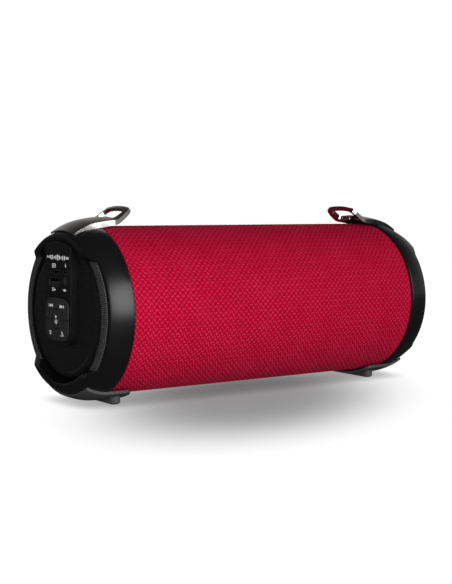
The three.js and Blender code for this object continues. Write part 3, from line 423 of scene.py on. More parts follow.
def smooth_mesh(name, shape, sharp):
    """A mesh from vertices and faces: doubles merged, faces outwards, sharp above an angle."""
    verts, faces = shape
    mesh = bpy.data.meshes.new(name)
    mesh.from_pydata(verts.tolist(), [], [face for group in faces for face in group.tolist()])
    form = bmesh.new()
    form.from_mesh(mesh)
    bmesh.ops.remove_doubles(form, verts=form.verts, dist=2e-6)
    bmesh.ops.dissolve_degenerate(form, edges=form.edges, dist=1e-6)
    loose = [v for v in form.verts if not v.link_faces]
    bmesh.ops.delete(form, geom=loose, context="VERTS")
    bmesh.ops.recalc_face_normals(form, faces=form.faces)
    form.to_mesh(mesh)
    form.free()
    mesh.shade_smooth()
    mesh.set_sharp_from_angle(angle=math.radians(sharp))
    return mesh


def add_piece(name, shape, material, nodes=(), body=HOUSING, edge=0.0, sharp=35.0):
    """A finished piece on a body, which is given its finish and may replace nodes."""
    mesh = smooth_mesh(name, shape, sharp)
    piece = bpy.data.objects.new(name, mesh)
    bpy.context.scene.collection.objects.link(piece)
    mesh.materials.append(material)
    if edge > 0:
        bevel = piece.modifiers.new("Edges", "BEVEL")
        bevel.width = edge
        bevel.segments = 3
        bevel.limit_method = "ANGLE"
        bevel.angle_limit = math.radians(40)
        bevel.harden_normals = True
    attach(piece, body)
    if nodes:
        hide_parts(*nodes)
    return piece


# ---------------------------------------------------------------- materials


class Finish:
    """A material's nodes, made by short calls."""

    def __init__(self, name, base, roughness, metallic=0.0):
        """A new material with its base colour, roughness and share of metal."""
        self.material = bpy.data.materials.new(name)
        self.material.use_nodes = True
        self.tree = self.material.node_tree
        self.shader = self.tree.nodes["Principled BSDF"]
        self.base = base
        self.set("Base Color", (*base, 1.0))
        self.set("Roughness", roughness)
        self.set("Metallic", metallic)
        self.height = None

    def set(self, socket, value):
        """A value straight on one of the shader's sockets."""
        self.shader.inputs[socket].default_value = value

    def put(self, source, socket):
        """A link to one of the shader's sockets."""
        self.tree.links.new(source, self.shader.inputs[socket])

    def node(self, kind, settings=None, **sockets):
        """A node with its settings; i0, i1 ... are sockets by number, other words by name."""
        made = self.tree.nodes.new(kind)
        for key, value in (settings or {}).items():
            setattr(made, key, value)
        for key, value in sockets.items():
            by_number = key[0] == "i" and key[1:].isdigit()
            socket = made.inputs[int(key[1:]) if by_number else key]
            if isinstance(value, bpy.types.NodeSocket):
                self.tree.links.new(value, socket)
            else:
                socket.default_value = value
        return made

    def math(self, operation, first, second=0.0, third=0.0):
        """One sum on up to three values."""
        settings = {"operation": operation}
        return self.node("ShaderNodeMath", settings, i0=first, i1=second, i2=third).outputs[0]

    def ramp(self, value, low, high, to_low=0.0, to_high=1.0):
        """A smooth step of a value from one range to another."""
        return self.node(
            "ShaderNodeMapRange",
            {"interpolation_type": "SMOOTHSTEP"},
            i0=value, i1=low, i2=high, i3=to_low, i4=to_high,
        ).outputs[0]

    def blend(self, share, first, second):
        """A colour between two others."""
        mixed = self.node("ShaderNodeMix", {"data_type": "RGBA"})
        self.tree.links.new(share, mixed.inputs[0])
        mixed.inputs[6].default_value = (*first, 1.0)
        mixed.inputs[7].default_value = (*second, 1.0)
        return mixed.outputs[2]

    def mottle(self, share, dark, light):
        """Colours the surface between two shades of its base."""
        self.put(self.blend(share, shade(self.base, dark), shade(self.base, light)), "Base Color")

    def place(self, stretch=(1.0, 1.0, 1.0)):
        """Object coordinates, stretched along the axes."""
        where = self.node("ShaderNodeTexCoord").outputs["Object"]
        mapping = self.node("ShaderNodeMapping")
        self.tree.links.new(where, mapping.inputs["Vector"])
        mapping.inputs["Scale"].default_value = stretch
        return mapping.outputs[0]

    def noise(self, size, detail=3.0, stretch=(1.0, 1.0, 1.0)):
        """Noise whose features have about a size in metres."""
        return self.node(
            "ShaderNodeTexNoise", Vector=self.place(stretch), Scale=1.0 / size, Detail=detail
        ).outputs[0]

    def bump(self, height, depth, distance=0.0005):
        """Adds a height to the surface's relief."""
        made = self.node("ShaderNodeBump", Height=height, Strength=depth, Distance=distance)
        if self.height is not None:
            self.tree.links.new(self.height, made.inputs["Normal"])
        self.height = made.outputs[0]
        self.put(self.height, "Normal")


def shade(base, factor):
    """A colour made lighter or darker, each part held to 1."""
    return tuple(min(1.0, c * factor) for c in base)


def satin_plastic(name, base, roughness=0.38, grain=0.0005, depth=0.12):
    """Moulded plastic: a fine spark-eroded grain, with broad handling marks in its gloss."""
    finish = Finish(name, base, roughness)
    fine, broad = finish.noise(grain, 2.0), finish.noise(0.03, 2.0)
    finish.mottle(broad, 0.85, 1.2)
    finish.put(finish.ramp(broad, 0.3, 0.7, roughness - 0.03, roughness + 0.04), "Roughness")
    finish.bump(fine, depth, 0.0002)
    return finish.material


def ribbed_plastic(name, base, ribs):
    """Plastic whose ribs, cos^2 of the angle about the tube times half their number, are painted
    lighter on top, a painted highlight, and darker in the grooves, painted shade."""
    finish = Finish(name, base, 0.34)
    parts = finish.node("ShaderNodeSeparateXYZ", i0=finish.place())
    upward = finish.math("SUBTRACT", parts.outputs["Z"], AXIS_Z)
    angle = finish.math("ARCTAN2", upward, parts.outputs["Y"])
    wave = finish.math("COSINE", finish.math("MULTIPLY", angle, float(ribs)))
    # Rib tops painted lighter, a painted highlight, and grooves darker, painted shade, broken up by
    # noise.
    rib_light_and_shade = finish.math("MULTIPLY_ADD", finish.noise(0.002, 3.0), 0.5, wave)
    top = finish.ramp(rib_light_and_shade, -0.6, 1.2)
    finish.mottle(top, 0.25, 1.7)
    finish.put(finish.ramp(top, 0.0, 1.0, 0.5, 0.3), "Roughness")
    finish.bump(finish.noise(0.0005, 2.0), 0.1, 0.0002)
    return finish.material


def powder_coat(name, base, roughness=0.5):
    """Powder-coated sheet: orange-peel relief and slight mottling."""
    finish = Finish(name, base, roughness)
    peel = finish.noise(0.0006, 2.0)
    finish.mottle(peel, 0.7, 1.4)
    finish.put(finish.ramp(peel, 0.2, 0.8, roughness - 0.08, roughness + 0.08), "Roughness")
    finish.bump(peel, 0.25, 0.0003)
    return finish.material


def polished_chrome(name, base):
    """Polished plating: almost a mirror, with faint polishing lines and haze."""
    finish = Finish(name, base, 0.06, 1.0)
    lines = finish.noise(0.0008, 3.0, (1.0, 14.0, 1.0))
    haze = finish.noise(0.012, 3.0)
    finish.put(finish.ramp(haze, 0.3, 0.75, 0.07, 0.12), "Roughness")
    finish.mottle(haze, 0.94, 1.0)
    finish.bump(lines, 0.006, 0.0002)
    return finish.material


def brushed_metal(name, base, roughness=0.32, stretch=(1.0, 1.0, 12.0)):
    """Plated or brushed steel: stretched grain in gloss, colour and relief."""
    finish = Finish(name, base, roughness, 1.0)
    grain = finish.noise(0.0012, 4.0, stretch)
    finish.mottle(grain, 0.75, 1.15)
    finish.put(finish.ramp(grain, 0.25, 0.75, roughness - 0.08, roughness + 0.12), "Roughness")
    finish.bump(grain, 0.08, 0.0002)
    return finish.material


def soft_rubber(name, base, roughness=0.72):
    """Rubber or silicone: matt, with dusty patches and a fine grain."""
    finish = Finish(name, base, roughness)
    dust, fine = finish.noise(0.006, 4.0), finish.noise(0.0004, 2.0)
    finish.mottle(dust, 0.8, 1.45)
    finish.put(finish.ramp(dust, 0.3, 0.7, roughness - 0.08, roughness + 0.08), "Roughness")
    finish.bump(fine, 0.15, 0.0002)
    return finish.material


def pressed_fibre(name, base):
    """Driver paper: fibres laid at random in colour and relief."""
    finish = Finish(name, base, 0.85)
    fibres = finish.noise(0.0015, 6.0, (1.0, 3.0, 3.0))
    finish.mottle(fibres, 0.6, 1.7)
    finish.set("Sheen Weight", 0.2)
    finish.bump(fibres, 0.4, 0.0004)
    return finish.material


def sintered(name, base):
    """Ferrite: dull, speckled and slightly pitted."""
    finish = Finish(name, base, 0.6)
    pits = finish.noise(0.002, 6.0)
    finish.mottle(finish.ramp(pits, 0.4, 0.7), 1.3, 0.5)
    finish.bump(pits, 0.35, 0.0004)
    return finish.material


def circuit_board(name, base):
    """Solder mask over copper: lighter tracks on a square lattice, broken up by noise."""
    finish = Finish(name, base, 0.3)
    where = finish.place()
    parts = finish.node("ShaderNodeSeparateXYZ", i0=where)
    breaks = finish.noise(0.006, 1.0)
    across = finish.math("FRACT", finish.math("MULTIPLY", parts.outputs["Y"], 450.0))
    upward = finish.math("FRACT", finish.math("MULTIPLY", parts.outputs["Z"], 450.0))
    track = finish.math("MAXIMUM", finish.ramp(across, 0.60, 0.66), finish.ramp(upward, 0.70, 0.76))
    track = finish.math("MULTIPLY", track, finish.ramp(breaks, 0.48, 0.54))
    finish.mottle(track, 1.0, 2.4)
    finish.bump(track, 0.2, 0.0001)
    return finish.material


def shrink_wrap(name, base):
    """Heat-shrunk film: glossy, with fine creases round the cell."""
    finish = Finish(name, base, 0.28)
    crease = finish.noise(0.004, 3.0, (1.0, 4.0, 4.0))
    finish.mottle(crease, 0.8, 1.15)
    finish.bump(crease, 0.12, 0.0003)
    return finish.material


def print_paint(name, base, roughness=0.55):
    """Screen print: slightly uneven cover."""
    finish = Finish(name, base, roughness)
    cover = finish.noise(0.0006, 3.0)
    finish.mottle(cover, 0.8, 1.15)
    finish.bump(cover, 0.05, 0.0001)
    return finish.material


def woven_cloth(name, base, deep):
    """Open speaker cloth on the sleeve's own map, whose unit is one cell of the weave.

    cos(2 pi a) cos(2 pi b) is 1 at the weave's openings, which stand in diagonal rows, and -1
    where its yarns cross; the openings are painted darker, painted shade in the hollows. Lighter
    strands lean across the cells where cos(2 pi (2 b + a)) is high, and are broken up by cos(4 pi a)
    and by noise: raised yarn is painted lighter and whiter, a painted sheen, and low yarn darker,
    painted shade.
    """
    finish = Finish(name, base, 0.78)
    where = finish.node("ShaderNodeUVMap", {"uv_map": "cloth"}).outputs[0]
    parts = finish.node("ShaderNodeSeparateXYZ", i0=where)
    turn = 2 * math.pi
    wave_a = finish.math("COSINE", finish.math("MULTIPLY", parts.outputs[0], turn))
    wave_b = finish.math("COSINE", finish.math("MULTIPLY", parts.outputs[1], turn))
    opening = finish.math("MULTIPLY", wave_a, wave_b)
    lean = finish.math("MULTIPLY_ADD", parts.outputs[1], 2.0, parts.outputs[0])
    yarn = finish.math("COSINE", finish.math("MULTIPLY", lean, turn))
    twist = finish.math("COSINE", finish.math("MULTIPLY", parts.outputs[0], turn * 2))
    fray = finish.node("ShaderNodeTexNoise", Vector=where, Scale=3.1, Detail=3.0).outputs[0]
    slub = finish.node("ShaderNodeTexNoise", Vector=where, Scale=0.22, Detail=2.0).outputs[0]
    height = finish.math("MULTIPLY_ADD", yarn, 0.3, finish.math("MULTIPLY", opening, -0.4))
    height = finish.math("MULTIPLY_ADD", twist, 0.15, height)
    height = finish.math("MULTIPLY_ADD", fray, 0.5, height)
    # The openings are painted darker: painted shade in the hollows of the weave.
    depth = finish.ramp(finish.math("MULTIPLY_ADD", fray, -0.5, opening), 0.1, 0.9)
    # Raised yarn painted lighter and whiter, a painted sheen; low yarn darker, painted shade.
    painted_sheen = finish.ramp(finish.math("MULTIPLY_ADD", slub, 0.5, height), 0.35, 1.15, 0.0, 1.0)
    sheen_strand = tuple(c * 1.12 + lift for c, lift in zip(base, (0.02, 0.018, 0.032)))
    ground = finish.blend(painted_sheen, shade(base, 0.84), sheen_strand)
    mixed = finish.node("ShaderNodeMix", {"data_type": "RGBA"})
    finish.tree.links.new(depth, mixed.inputs[0])
    finish.tree.links.new(ground, mixed.inputs[6])
    mixed.inputs[7].default_value = (*deep, 1.0)
    finish.put(mixed.outputs[2], "Base Color")
    finish.set("Sheen Weight", 0.02)
    finish.set("Sheen Roughness", 0.5)
    finish.set("Sheen Tint", (1.0, 0.1, 0.25, 1.0))
    finish.set("Specular IOR Level", 0.04)
    finish.bump(height, 0.7, 0.0005)
    return finish.material


def paints():
    """All finishes by name, made once."""
    c = bpy.context.scene.speaker_colours
    if "satin black" in bpy.data.materials:
        return {m.name: m for m in bpy.data.materials}
    satin_plastic("satin black", c.plastic, 0.27)
    satin_plastic("panel black", c.plastic, 0.3, 0.0004, 0.06)
    ribbed_plastic("trim black", c.trim, bpy.context.scene.speaker_trim.ribs)
    satin_plastic("inner plastic", c.inner, 0.5, 0.0008)
    satin_plastic("jack plastic", shade(c.inner, 0.5), 0.35)
    powder_coat("grille coat", c.mesh, 0.36)
    polished_chrome("bright chrome", c.chrome)
    brushed_metal("plated steel", c.steel)
    brushed_metal("pressed steel", shade(c.steel, 0.7), 0.4)
    brushed_metal("nickel shell", c.nickel, 0.25, (6.0, 1.0, 1.0))
    brushed_metal("gold contact", c.gold, 0.2, (6.0, 1.0, 1.0))
    soft_rubber("black rubber", c.rubber)
    soft_rubber("key silicone", c.key, 0.5)
    soft_rubber("lead jacket", c.rubber, 0.5)
    pressed_fibre("driver paper", c.paper)
    sintered("ferrite", c.ferrite)
    circuit_board("solder mask", c.board)
    shrink_wrap("cell wrap", c.cell)
    print_paint("grey print", c.mark)
    woven_cloth("crimson weave", c.cloth, c.cloth_opening_shade)
    pressed_fibre("crimson tape", shade(c.cloth, 0.8))
    pressed_fibre("crimson thread", c.cloth)
    return {m.name: m for m in bpy.data.materials}


# ---------------------------------------------------------------- caps and trims


def barrel_table(cap, steps=240):
    """The barrel's (radius, u) from the lip to past the tabs' ends: a cubic Bezier curve with
    poles (R, 1), (R, 9), (R - 2.2, 0.64 L) and (R - taper - 0.9, L - 0.7), then its tangent."""
    r, reach = CAP_RADIUS, CAP_LENGTH
    poles = [
        (r, 1 * MM), (r, 9 * MM), (r - 2.2 * MM, reach * 0.64),
        (r - cap.taper - 0.9 * MM, reach - 0.7 * MM),
    ]
    curve = bezier(poles, steps)
    beyond = curve[-1] + (curve[-1] - curve[-2]) * np.arange(1, 40)[:, None]
    return np.concatenate([curve, beyond])


def barrel_radius(cap, u):
    """The barrel's radius at a place along it, read off its curve."""
    table = barrel_table(cap)
    return np.interp(u, table[:, 1], table[:, 0])


def soft_clamp(value, low, high, softness):
    """A value held between two limits, with its two bends rounded off."""

    def bend(x):
        """softness * ln(1 + e^(x / softness)): nought well below x = 0, and x well above it."""
        return softness * np.logaddexp(0, x / softness)

    return low + bend(value - low) - bend(value - high)


def rim_height(cap, radius, angle):
    """How far out the cap reaches: to the tabs' ends above and below, and to the low rim between
    them, with a sloping side at a fixed height over the axis."""
    high = CAP_RADIUS - cap.tab_drop
    run = (CAP_LENGTH - cap.rim_reach) / cap.tab_slope
    slope = CAP_LENGTH + (np.abs(radius * np.sin(angle)) - high) * run
    return soft_clamp(slope, cap.rim_reach, CAP_LENGTH, 0.15 * MM)


def cap_angles():
    """Angles round the cap, close together where the tabs' sides run."""
    coarse, fine = 2.4, 0.35
    edges = [0, 36, 58, 122, 144, 216, 238, 302, 324, 360]
    steps = [coarse, fine, coarse, fine, coarse, fine, coarse, fine, coarse]
    runs = [
        np.arange(round((b - a) / step)) * step + a for a, b, step in zip(edges, edges[1:], steps)
    ]
    return np.radians(np.concatenate(runs))


def cap_shape(cap, side):
    """The cap as one closed outline of (radius, u) for each angle round it: skirt, lip, barrel,
    top of the rim or tab, well, web, and back through the hollow behind them."""
    angle = cap_angles()
    table = barrel_table(cap)
    over = table[:, 1][:, None] - rim_height(cap, table[:, 0][:, None], angle[None, :])
    last = np.argmax(over > 0, axis=0)
    share = over[last, np.arange(len(angle))] / (
        over[last, np.arange(len(angle))] - over[last - 1, np.arange(len(angle))]
    )
    where = (last - share) / (len(table) - 1)
    well = CAP_RADIUS - cap.rim_width
    web_front = cap.web_back + cap.web
    skirt = CLOTH_RADIUS - 1.7 * MM
    hollow = cap.rim_reach - cap.web + 0.4 * MM
    stops = np.linspace(0.0, 1.0, 9)[:, None] * where[None, :]
    index = np.linspace(0, 1, len(table))
    barrel = [(np.interp(s, index, table[:, 0]), np.interp(s, index, table[:, 1])) for s in stops]
    inner = well + 2.6 * MM
    corners = [
        (skirt, 0.0), (CAP_RADIUS, 0.0), *barrel,
        ((barrel[-1][0] + well) / 2, rim_height(cap, (barrel[-1][0] + well) / 2, angle)),
        (well, rim_height(cap, well, angle)), (well, web_front),
        (well - cap.web_width, web_front), (well - cap.web_width, cap.web_back),
        (inner, cap.web_back), (inner, hollow), (CAP_RADIUS - cap.wall - 3 * MM, hollow),
        (skirt, cap.web_back + 1 * MM),
    ]
    radii = [0.3 * MM, cap.edge, *[0.0] * 8, cap.edge, 0.0, cap.edge, 0, 0, 0, 0, 0, 0, 0]
    outline = rounded(corners, radii)
    points = turned(side, outline[..., 0], outline[..., 1], angle[None, :])
    return points.reshape(-1, 3), [quads(*points.shape[:2], True, True)]


def trim_shape(cap, trim, side, facing):
    """The ribbed strip on the low rim: its section is a wedge that falls away outwards, carried
    round the axis between two level ends. Ribs stand on it as cos^2 of the angle about the axis
    times half of the number of ribs in a whole turn."""
    low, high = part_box(f"{side}_trim_front")
    level = (high.z - low.z) / 2
    well, start = CAP_RADIUS - cap.rim_width, cap.rim_reach + GAP
    outer = well + trim.width
    section = rounded(
        [(well, start), (outer, start), (outer, start + trim.outer_edge),
         (well, start + trim.thickness)],
        [0.1 * MM, 0.1 * MM, 0.5 * MM, 0.4 * MM], 6,
    )
    radius, u = section[:, 0][:, None], section[:, 1][:, None]
    away = 0 if facing > 0 else np.pi
    angle = away + np.linspace(-1, 1, trim.ribs * 3 + 1)[None, :] * np.arcsin(level / radius)
    rib = trim.rib * np.cos(angle * trim.ribs / 2) ** 2
    sunk = (trim.rib - rib) * np.clip((u - start) / (0.3 * MM), 0, 1)
    points = turned(side, radius, u - sunk, angle)
    rows, columns = points.shape[:2]
    first = np.arange(rows)[None, :] * columns
    return points.reshape(-1, 3), [quads(rows, columns, True, False), first, first + columns - 1]


# ---------------------------------------------------------------- grilles


def grille_line(grille, distance):
    """(radius, u) at a distance from where the crowned face meets the rolled edge, along the
    quarter circle of the roll and then down the side."""
    outer = CAP_RADIUS - bpy.context.scene.speaker_cap.rim_width - grille.margin
    quarter = grille.roll * np.pi / 2
    turn = np.clip(distance / grille.roll, 0, np.pi / 2)
    down = np.maximum(distance - quarter, 0)
    radius = outer - grille.roll + grille.roll * np.sin(turn)
    return radius, grille.face - grille.roll + grille.roll * np.cos(turn) - down


def face_height(grille, radius, edge):
    """The crowned face: a parabola over the edge's radius."""
    return grille.face + grille.crown * (1 - (radius / edge) ** 2)


def punched(outer_ring, inner_ring):
    """Faces between matching rings of points, one pair of rings to each cell."""
    cells, points = outer_ring.shape[:2]
    verts = np.concatenate([outer_ring.reshape(-1, 3), inner_ring.reshape(-1, 3)])
    base = (np.arange(cells) * points)[:, None]
    here, after = base + np.arange(points), base + (np.arange(points) + 1) % points
    shift = cells * points
    return verts, [np.stack([here, after, after + shift, here + shift], axis=-1).reshape(-1, 4)]


def punched_face(grille, side, edge, panel=None):
    """Six-sided cells in level rows, each with a six-sided hole, over the crowned face."""
    row = grille.pitch * math.sqrt(3) / 2
    half = math.ceil(edge / row) + 1
    j, i = np.meshgrid(np.arange(-half, half + 1), np.arange(-half, half + 1), indexing="ij")
    y = (i + 0.5 * (j % 2)) * grille.pitch
    z = j * row
    centre = np.stack([y.ravel(), z.ravel()], axis=-1)
    centre = centre[np.hypot(centre[:, 0], centre[:, 1]) < edge - 0.2 * MM]
    if panel is not None:
        centre = centre[~inside(centre, panel)]
    turn = np.pi / 6 + np.arange(6) * np.pi / 3
    around = np.stack([np.cos(turn), np.sin(turn)], axis=-1)

    def ring(radius):
        """Six points round each cell's middle, laid just behind the grille's face."""
        flat = centre[:, None, :] + around * radius
        u = face_height(grille, np.hypot(flat[..., 0], flat[..., 1]), edge)
        return on_end(side, u - 0.06 * MM, flat[..., 0], flat[..., 1])

    return punched(ring(grille.pitch / math.sqrt(3)), ring(grille.hole))


def punched_edge(grille, side, edge, angles):
    """Rows of square cells over the rolled edge, each with an eight-sided hole, and each row
    half a cell round from the one before."""
    start, stop = angles
    across = max(8, round((stop - start) * (edge + grille.roll) / grille.pitch))
    step = (stop - start) / across
    tall = grille.pitch * math.sqrt(3) / 2
    row, column = np.meshgrid(np.arange(grille.rows), np.arange(across), indexing="ij")
    row, column = row.ravel()[:, None], column.ravel()[:, None]
    square = np.array([(-1, -1), (0, -1), (1, -1), (1, 0), (1, 1), (0, 1), (-1, 1), (-1, 0)]) / 2
    turn = np.arctan2(square[:, 1], square[:, 0])
    hole = np.stack([np.cos(turn), np.sin(turn)], axis=-1) * grille.hole / grille.pitch

    def ring(shape):
        """One outline in every cell of the rows, bent over the rolled edge."""
        distance = (row + 0.5 + shape[:, 1]) * tall
        angle = start + (column + 0.5 * (row % 2) + 0.5 + shape[:, 0]) * step
        radius, u = grille_line(grille, distance)
        return turned(side, radius, u, angle)

    return punched(ring(square), ring(hole))


def strip(side, line, angles, steps):
    """A line of (radius, u) turned through part of a circle."""
    angle = np.linspace(*angles, steps)[None, :]
    points = turned(side, line[0][:, None], line[1][:, None], angle)
    return points.reshape(-1, 3), [quads(*points.shape[:2])]


def grille_shape(grille, side):
    """Punched face and edge, with a plain ring between them and a plain skirt below."""
    sizes = bpy.context.scene.speaker_cap
    outer = CAP_RADIUS - sizes.rim_width - grille.margin
    edge = outer - grille.roll
    gap = 0.0
    panel = None
    if side == "left":
        high = node_span("control_panel")[1]
        gap = math.asin((high.y - 1.0 * MM) / outer)
        inset = 1.2 * MM
        panel = panel_outline(-inset)
    angles = (np.pi / 2 + gap, np.pi * 2.5 - gap)
    tall = grille.pitch * math.sqrt(3) / 2
    ring_radius = np.array([edge - grille.pitch * 0.75, edge + 0.02 * MM])
    ring = (ring_radius, face_height(grille, ring_radius, edge))
    distances = np.array([grille.rows * tall, grille.rows * tall + 1.0 * MM])
    radius, u = grille_line(grille, distances)
    u[-1] = sizes.web_back + sizes.web + GAP
    return joined(
        punched_face(grille, side, edge, panel),
        punched_edge(grille, side, edge, angles),
        strip(side, ring, angles, 181),
        strip(side, (radius, u), angles, 181),
    )


# ---------------------------------------------------------------- brackets and feet


def bezier(poles, steps):
    """A Bezier curve: the sum of C(n, k) t^k (1 - t)^(n - k) times pole k."""
    t = np.linspace(0, 1, steps)[:, None]
    last = len(poles) - 1
    terms = [
        math.comb(last, k) * t**k * (1 - t) ** (last - k) * np.array(p) for k, p in enumerate(poles)
    ]
    return sum(terms)


def bracket_lines(cap, b):
    """Underside and top of the bracket as (radius, u), from its end on the cap to its tip: along
    the barrel, over the lip, then up into the loop. The top is the underside moved out square
    to itself by a thickness that falls off both ways from the lip."""
    base = CAP_RADIUS + GAP
    on_cap = np.linspace(b.reach, 0.4 * MM, 28)
    along = np.stack([barrel_radius(cap, on_cap) + GAP, on_cap], axis=-1)
    neck = bezier([
        (base, 0.0), (base + b.neck_rise * 0.7, -b.neck * 0.5),
        (base + b.neck_rise * 0.6, -b.neck * 0.8), (base + b.neck_rise, -b.neck),
    ], 12)
    loop = bezier([
        (base + b.neck_rise, -b.neck), (base + b.neck_rise * 1.5, -b.neck - 3.4 * MM),
        (base + b.rise, -b.over),
    ], 22)
    under = np.concatenate([along, neck, loop[1:]])
    run = np.gradient(under, axis=0)
    run /= np.linalg.norm(run, axis=1, keepdims=True)
    share = np.where(under[:, 1] > 0, under[:, 1] / b.reach, -under[:, 1] / b.over)
    thickness = b.middle + (np.where(under[:, 1] > 0, b.end, b.tip) - b.middle) * share
    left = np.linalg.norm(under[-1] - under, axis=1) / b.tip_round
    full = np.sqrt(1 - (1 - np.clip(left + 0.02, 0, 1)) ** 2)
    square = np.stack([-run[:, 1], run[:, 0]], axis=-1) * (thickness / 2)[:, None]
    middle = under + square
    return middle - square * full[:, None], middle + square * full[:, None]


def bracket_shape(cap, b, side):
    """A plate over the plan of the bracket, which is wrapped on the two lines turned about the
    tube's axis: at half-width y and radius r a point stands sqrt(r^2 - y^2) over the axis."""
    under, top = bracket_lines(cap, b)
    stations = np.concatenate([[0], np.cumsum(np.linalg.norm(np.diff(under, axis=0), axis=1))])

    def station(u):
        """How far along the underside of the casting a given u lies."""
        return np.interp(-u, -under[:, 1], stations)

    end, neck, tip = station(b.reach), station(-b.neck), stations[-1]
    corner = b.corner
    side_tip = b.half_width - 0.4 * MM
    outline = rounded(
        [(end, -b.half_width), (neck, -b.arm), (tip, -side_tip), (tip, side_tip),
         (neck, b.arm), (end, b.half_width)],
        [0.8 * MM, 6 * MM, corner, corner, 6 * MM, 0.8 * MM], 9,
    )
    start, stop = station(-b.slot_start), station(-b.slot_end)
    slot = round_box((start + stop) / 2, 0, stop - start, b.slot_half * 2, b.slot_corner)

    def on(line):
        """A surface on one line of the section: (s, y) at that line's u and radius."""

        def place(s, y):
            radius = np.interp(s, stations, line[:, 0])
            return on_end(side, np.interp(s, stations, line[:, 1]), y, np.sqrt(radius**2 - y**2))

        return place

    return plate([outline, slot], 1.3 * MM, on(top), on(under))


def holder_shape(cap, f, side):
    """The plate that hugs the underside of the cap, and the bar across it that holds the pad."""
    base = CAP_RADIUS + GAP

    def radius(u):
        """The cap's radius at u and a gap, held at its full size over the first millimetre."""
        return np.where(u < 1 * MM, CAP_RADIUS, barrel_radius(cap, u)) + GAP

    def under(offset):
        """A surface that follows the cap from below, an offset out from it."""

        def place(u, y):
            return on_end(side, u, y, -np.sqrt((radius(u) + offset) ** 2 - y**2))

        return place

    plan = rounded(
        [(-f.ear, -f.half_width), (f.reach, -f.half_width), (f.reach, f.half_width),
         (-f.ear, f.half_width)],
        [f.corner, 1.2 * MM, 1.2 * MM, f.corner], 7,
    )
    hugging = plate([plan], 2.0 * MM, under(f.plate), under(0))
    floor = f.pad_proud - AXIS_Z
    middle = -f.bar_inset - f.bar_width / 2
    bar_plan = round_box(middle, 0, f.bar_width, f.bar_half * 2, 3.4 * MM, 9)
    play = 0.6 * MM
    pocket = round_box(
        middle, 0, f.bar_width - f.pad_margin * 2 + play, (f.bar_half - f.pad_margin) * 2 + play,
        2 * MM, 5,
    )

    def level(z):
        """A level surface at the height z."""
        return lambda u, y: on_end(side, u, y, np.full_like(u, z))

    def into_plate(u, y):
        """The bar's top, which ends half way into the plate."""
        return on_end(side, u, y, -np.sqrt((base + f.plate * 0.5) ** 2 - y**2))

    bar = plate([bar_plan, pocket], 1.6 * MM, level(floor), into_plate)
    bed = plate([pocket], 2.5 * MM, level(floor + 1.0 * MM), level(floor + 2.0 * MM))
    return joined(hugging, bar, bed)


def pad_shape(f, side):
    """A rubber strip whose underside has three grooves along it: cos waves across its width."""
    middle = -f.bar_inset - f.bar_width / 2
    width = f.bar_width - f.pad_margin * 2
    plan = round_box(middle, 0, width, (f.bar_half - f.pad_margin) * 2, 1.7 * MM, 6)

    def sole(u, y):
        """The sole: level, with grooves that follow -cos above nought inside a plain margin."""
        wave = np.clip(-np.cos((u - middle) / width * 6 * np.pi), 0, 1) * 0.25 * MM
        inner = (np.abs(u - middle) < width * 0.42) & (np.abs(y) < f.bar_half - f.pad_margin - 2.2 * MM)
        return on_end(side, u, y, -AXIS_Z + np.where(inner, wave, 0))

    def back(u, y):
        """The pad's level back, inside the bar's pocket."""
        return on_end(side, u, y, np.full_like(u, f.pad_proud - AXIS_Z + 0.7 * MM))

    return plate([plan], 0.45 * MM, sole, back)


# ---------------------------------------------------------------- control panel


def panel_outline(offset):
    """The tongue's outline in (y, z), moved out by an offset: straight sides, two round lower
    corners, and a top that is an arc of the well."""
    p = bpy.context.scene.speaker_panel
    low, high = node_span("control_panel")
    half, bottom = high.y + offset, low.z - offset
    top = CAP_RADIUS - bpy.context.scene.speaker_cap.rim_width - GAP + offset
    corner = p.corner + offset
    turn = np.linspace(np.pi, np.pi * 1.5, 9)
    left = np.stack([
        -half + corner + corner * np.cos(turn), bottom + corner + corner * np.sin(turn),
    ], axis=-1)
    right = left[::-1] * (-1, 1)
    reach = math.acos(half / top)
    crown = np.linspace(reach, np.pi - reach, 17)
    return np.concatenate([left, right, np.stack([top * np.cos(crown), top * np.sin(crown)], axis=-1)])


def node_outline(node, offset, corner):
    """A node's rounded outline in (y, z), moved out by an offset."""
    low, high = node_span(node)
    return round_box(
        (low.y + high.y) / 2, (low.z + high.z) / 2,
        high.y - low.y + 2 * offset, high.z - low.z + 2 * offset, corner + offset,
    )


def keypad_box():
    """Middle and size of the four corner keys together, in (y, z)."""
    low, high = node_span("key_mode")[0], node_span("key_next")[1]
    return (low.y + high.y) / 2, (low.z + high.z) / 2, high.y - low.y, high.z - low.z


def keypad_outline(offset):
    """The four corner keys' common outline, moved out by an offset."""
    p = bpy.context.scene.speaker_panel
    y, z, width, height = keypad_box()
    return round_box(y, z, width + 2 * offset, height + 2 * offset, p.keypad_corner + offset, 9)


def flat_at(side, u):
    """A level surface across an end: the same u at every (y, z)."""
    return lambda y, z: on_end(side, np.full_like(y, u), y, z)


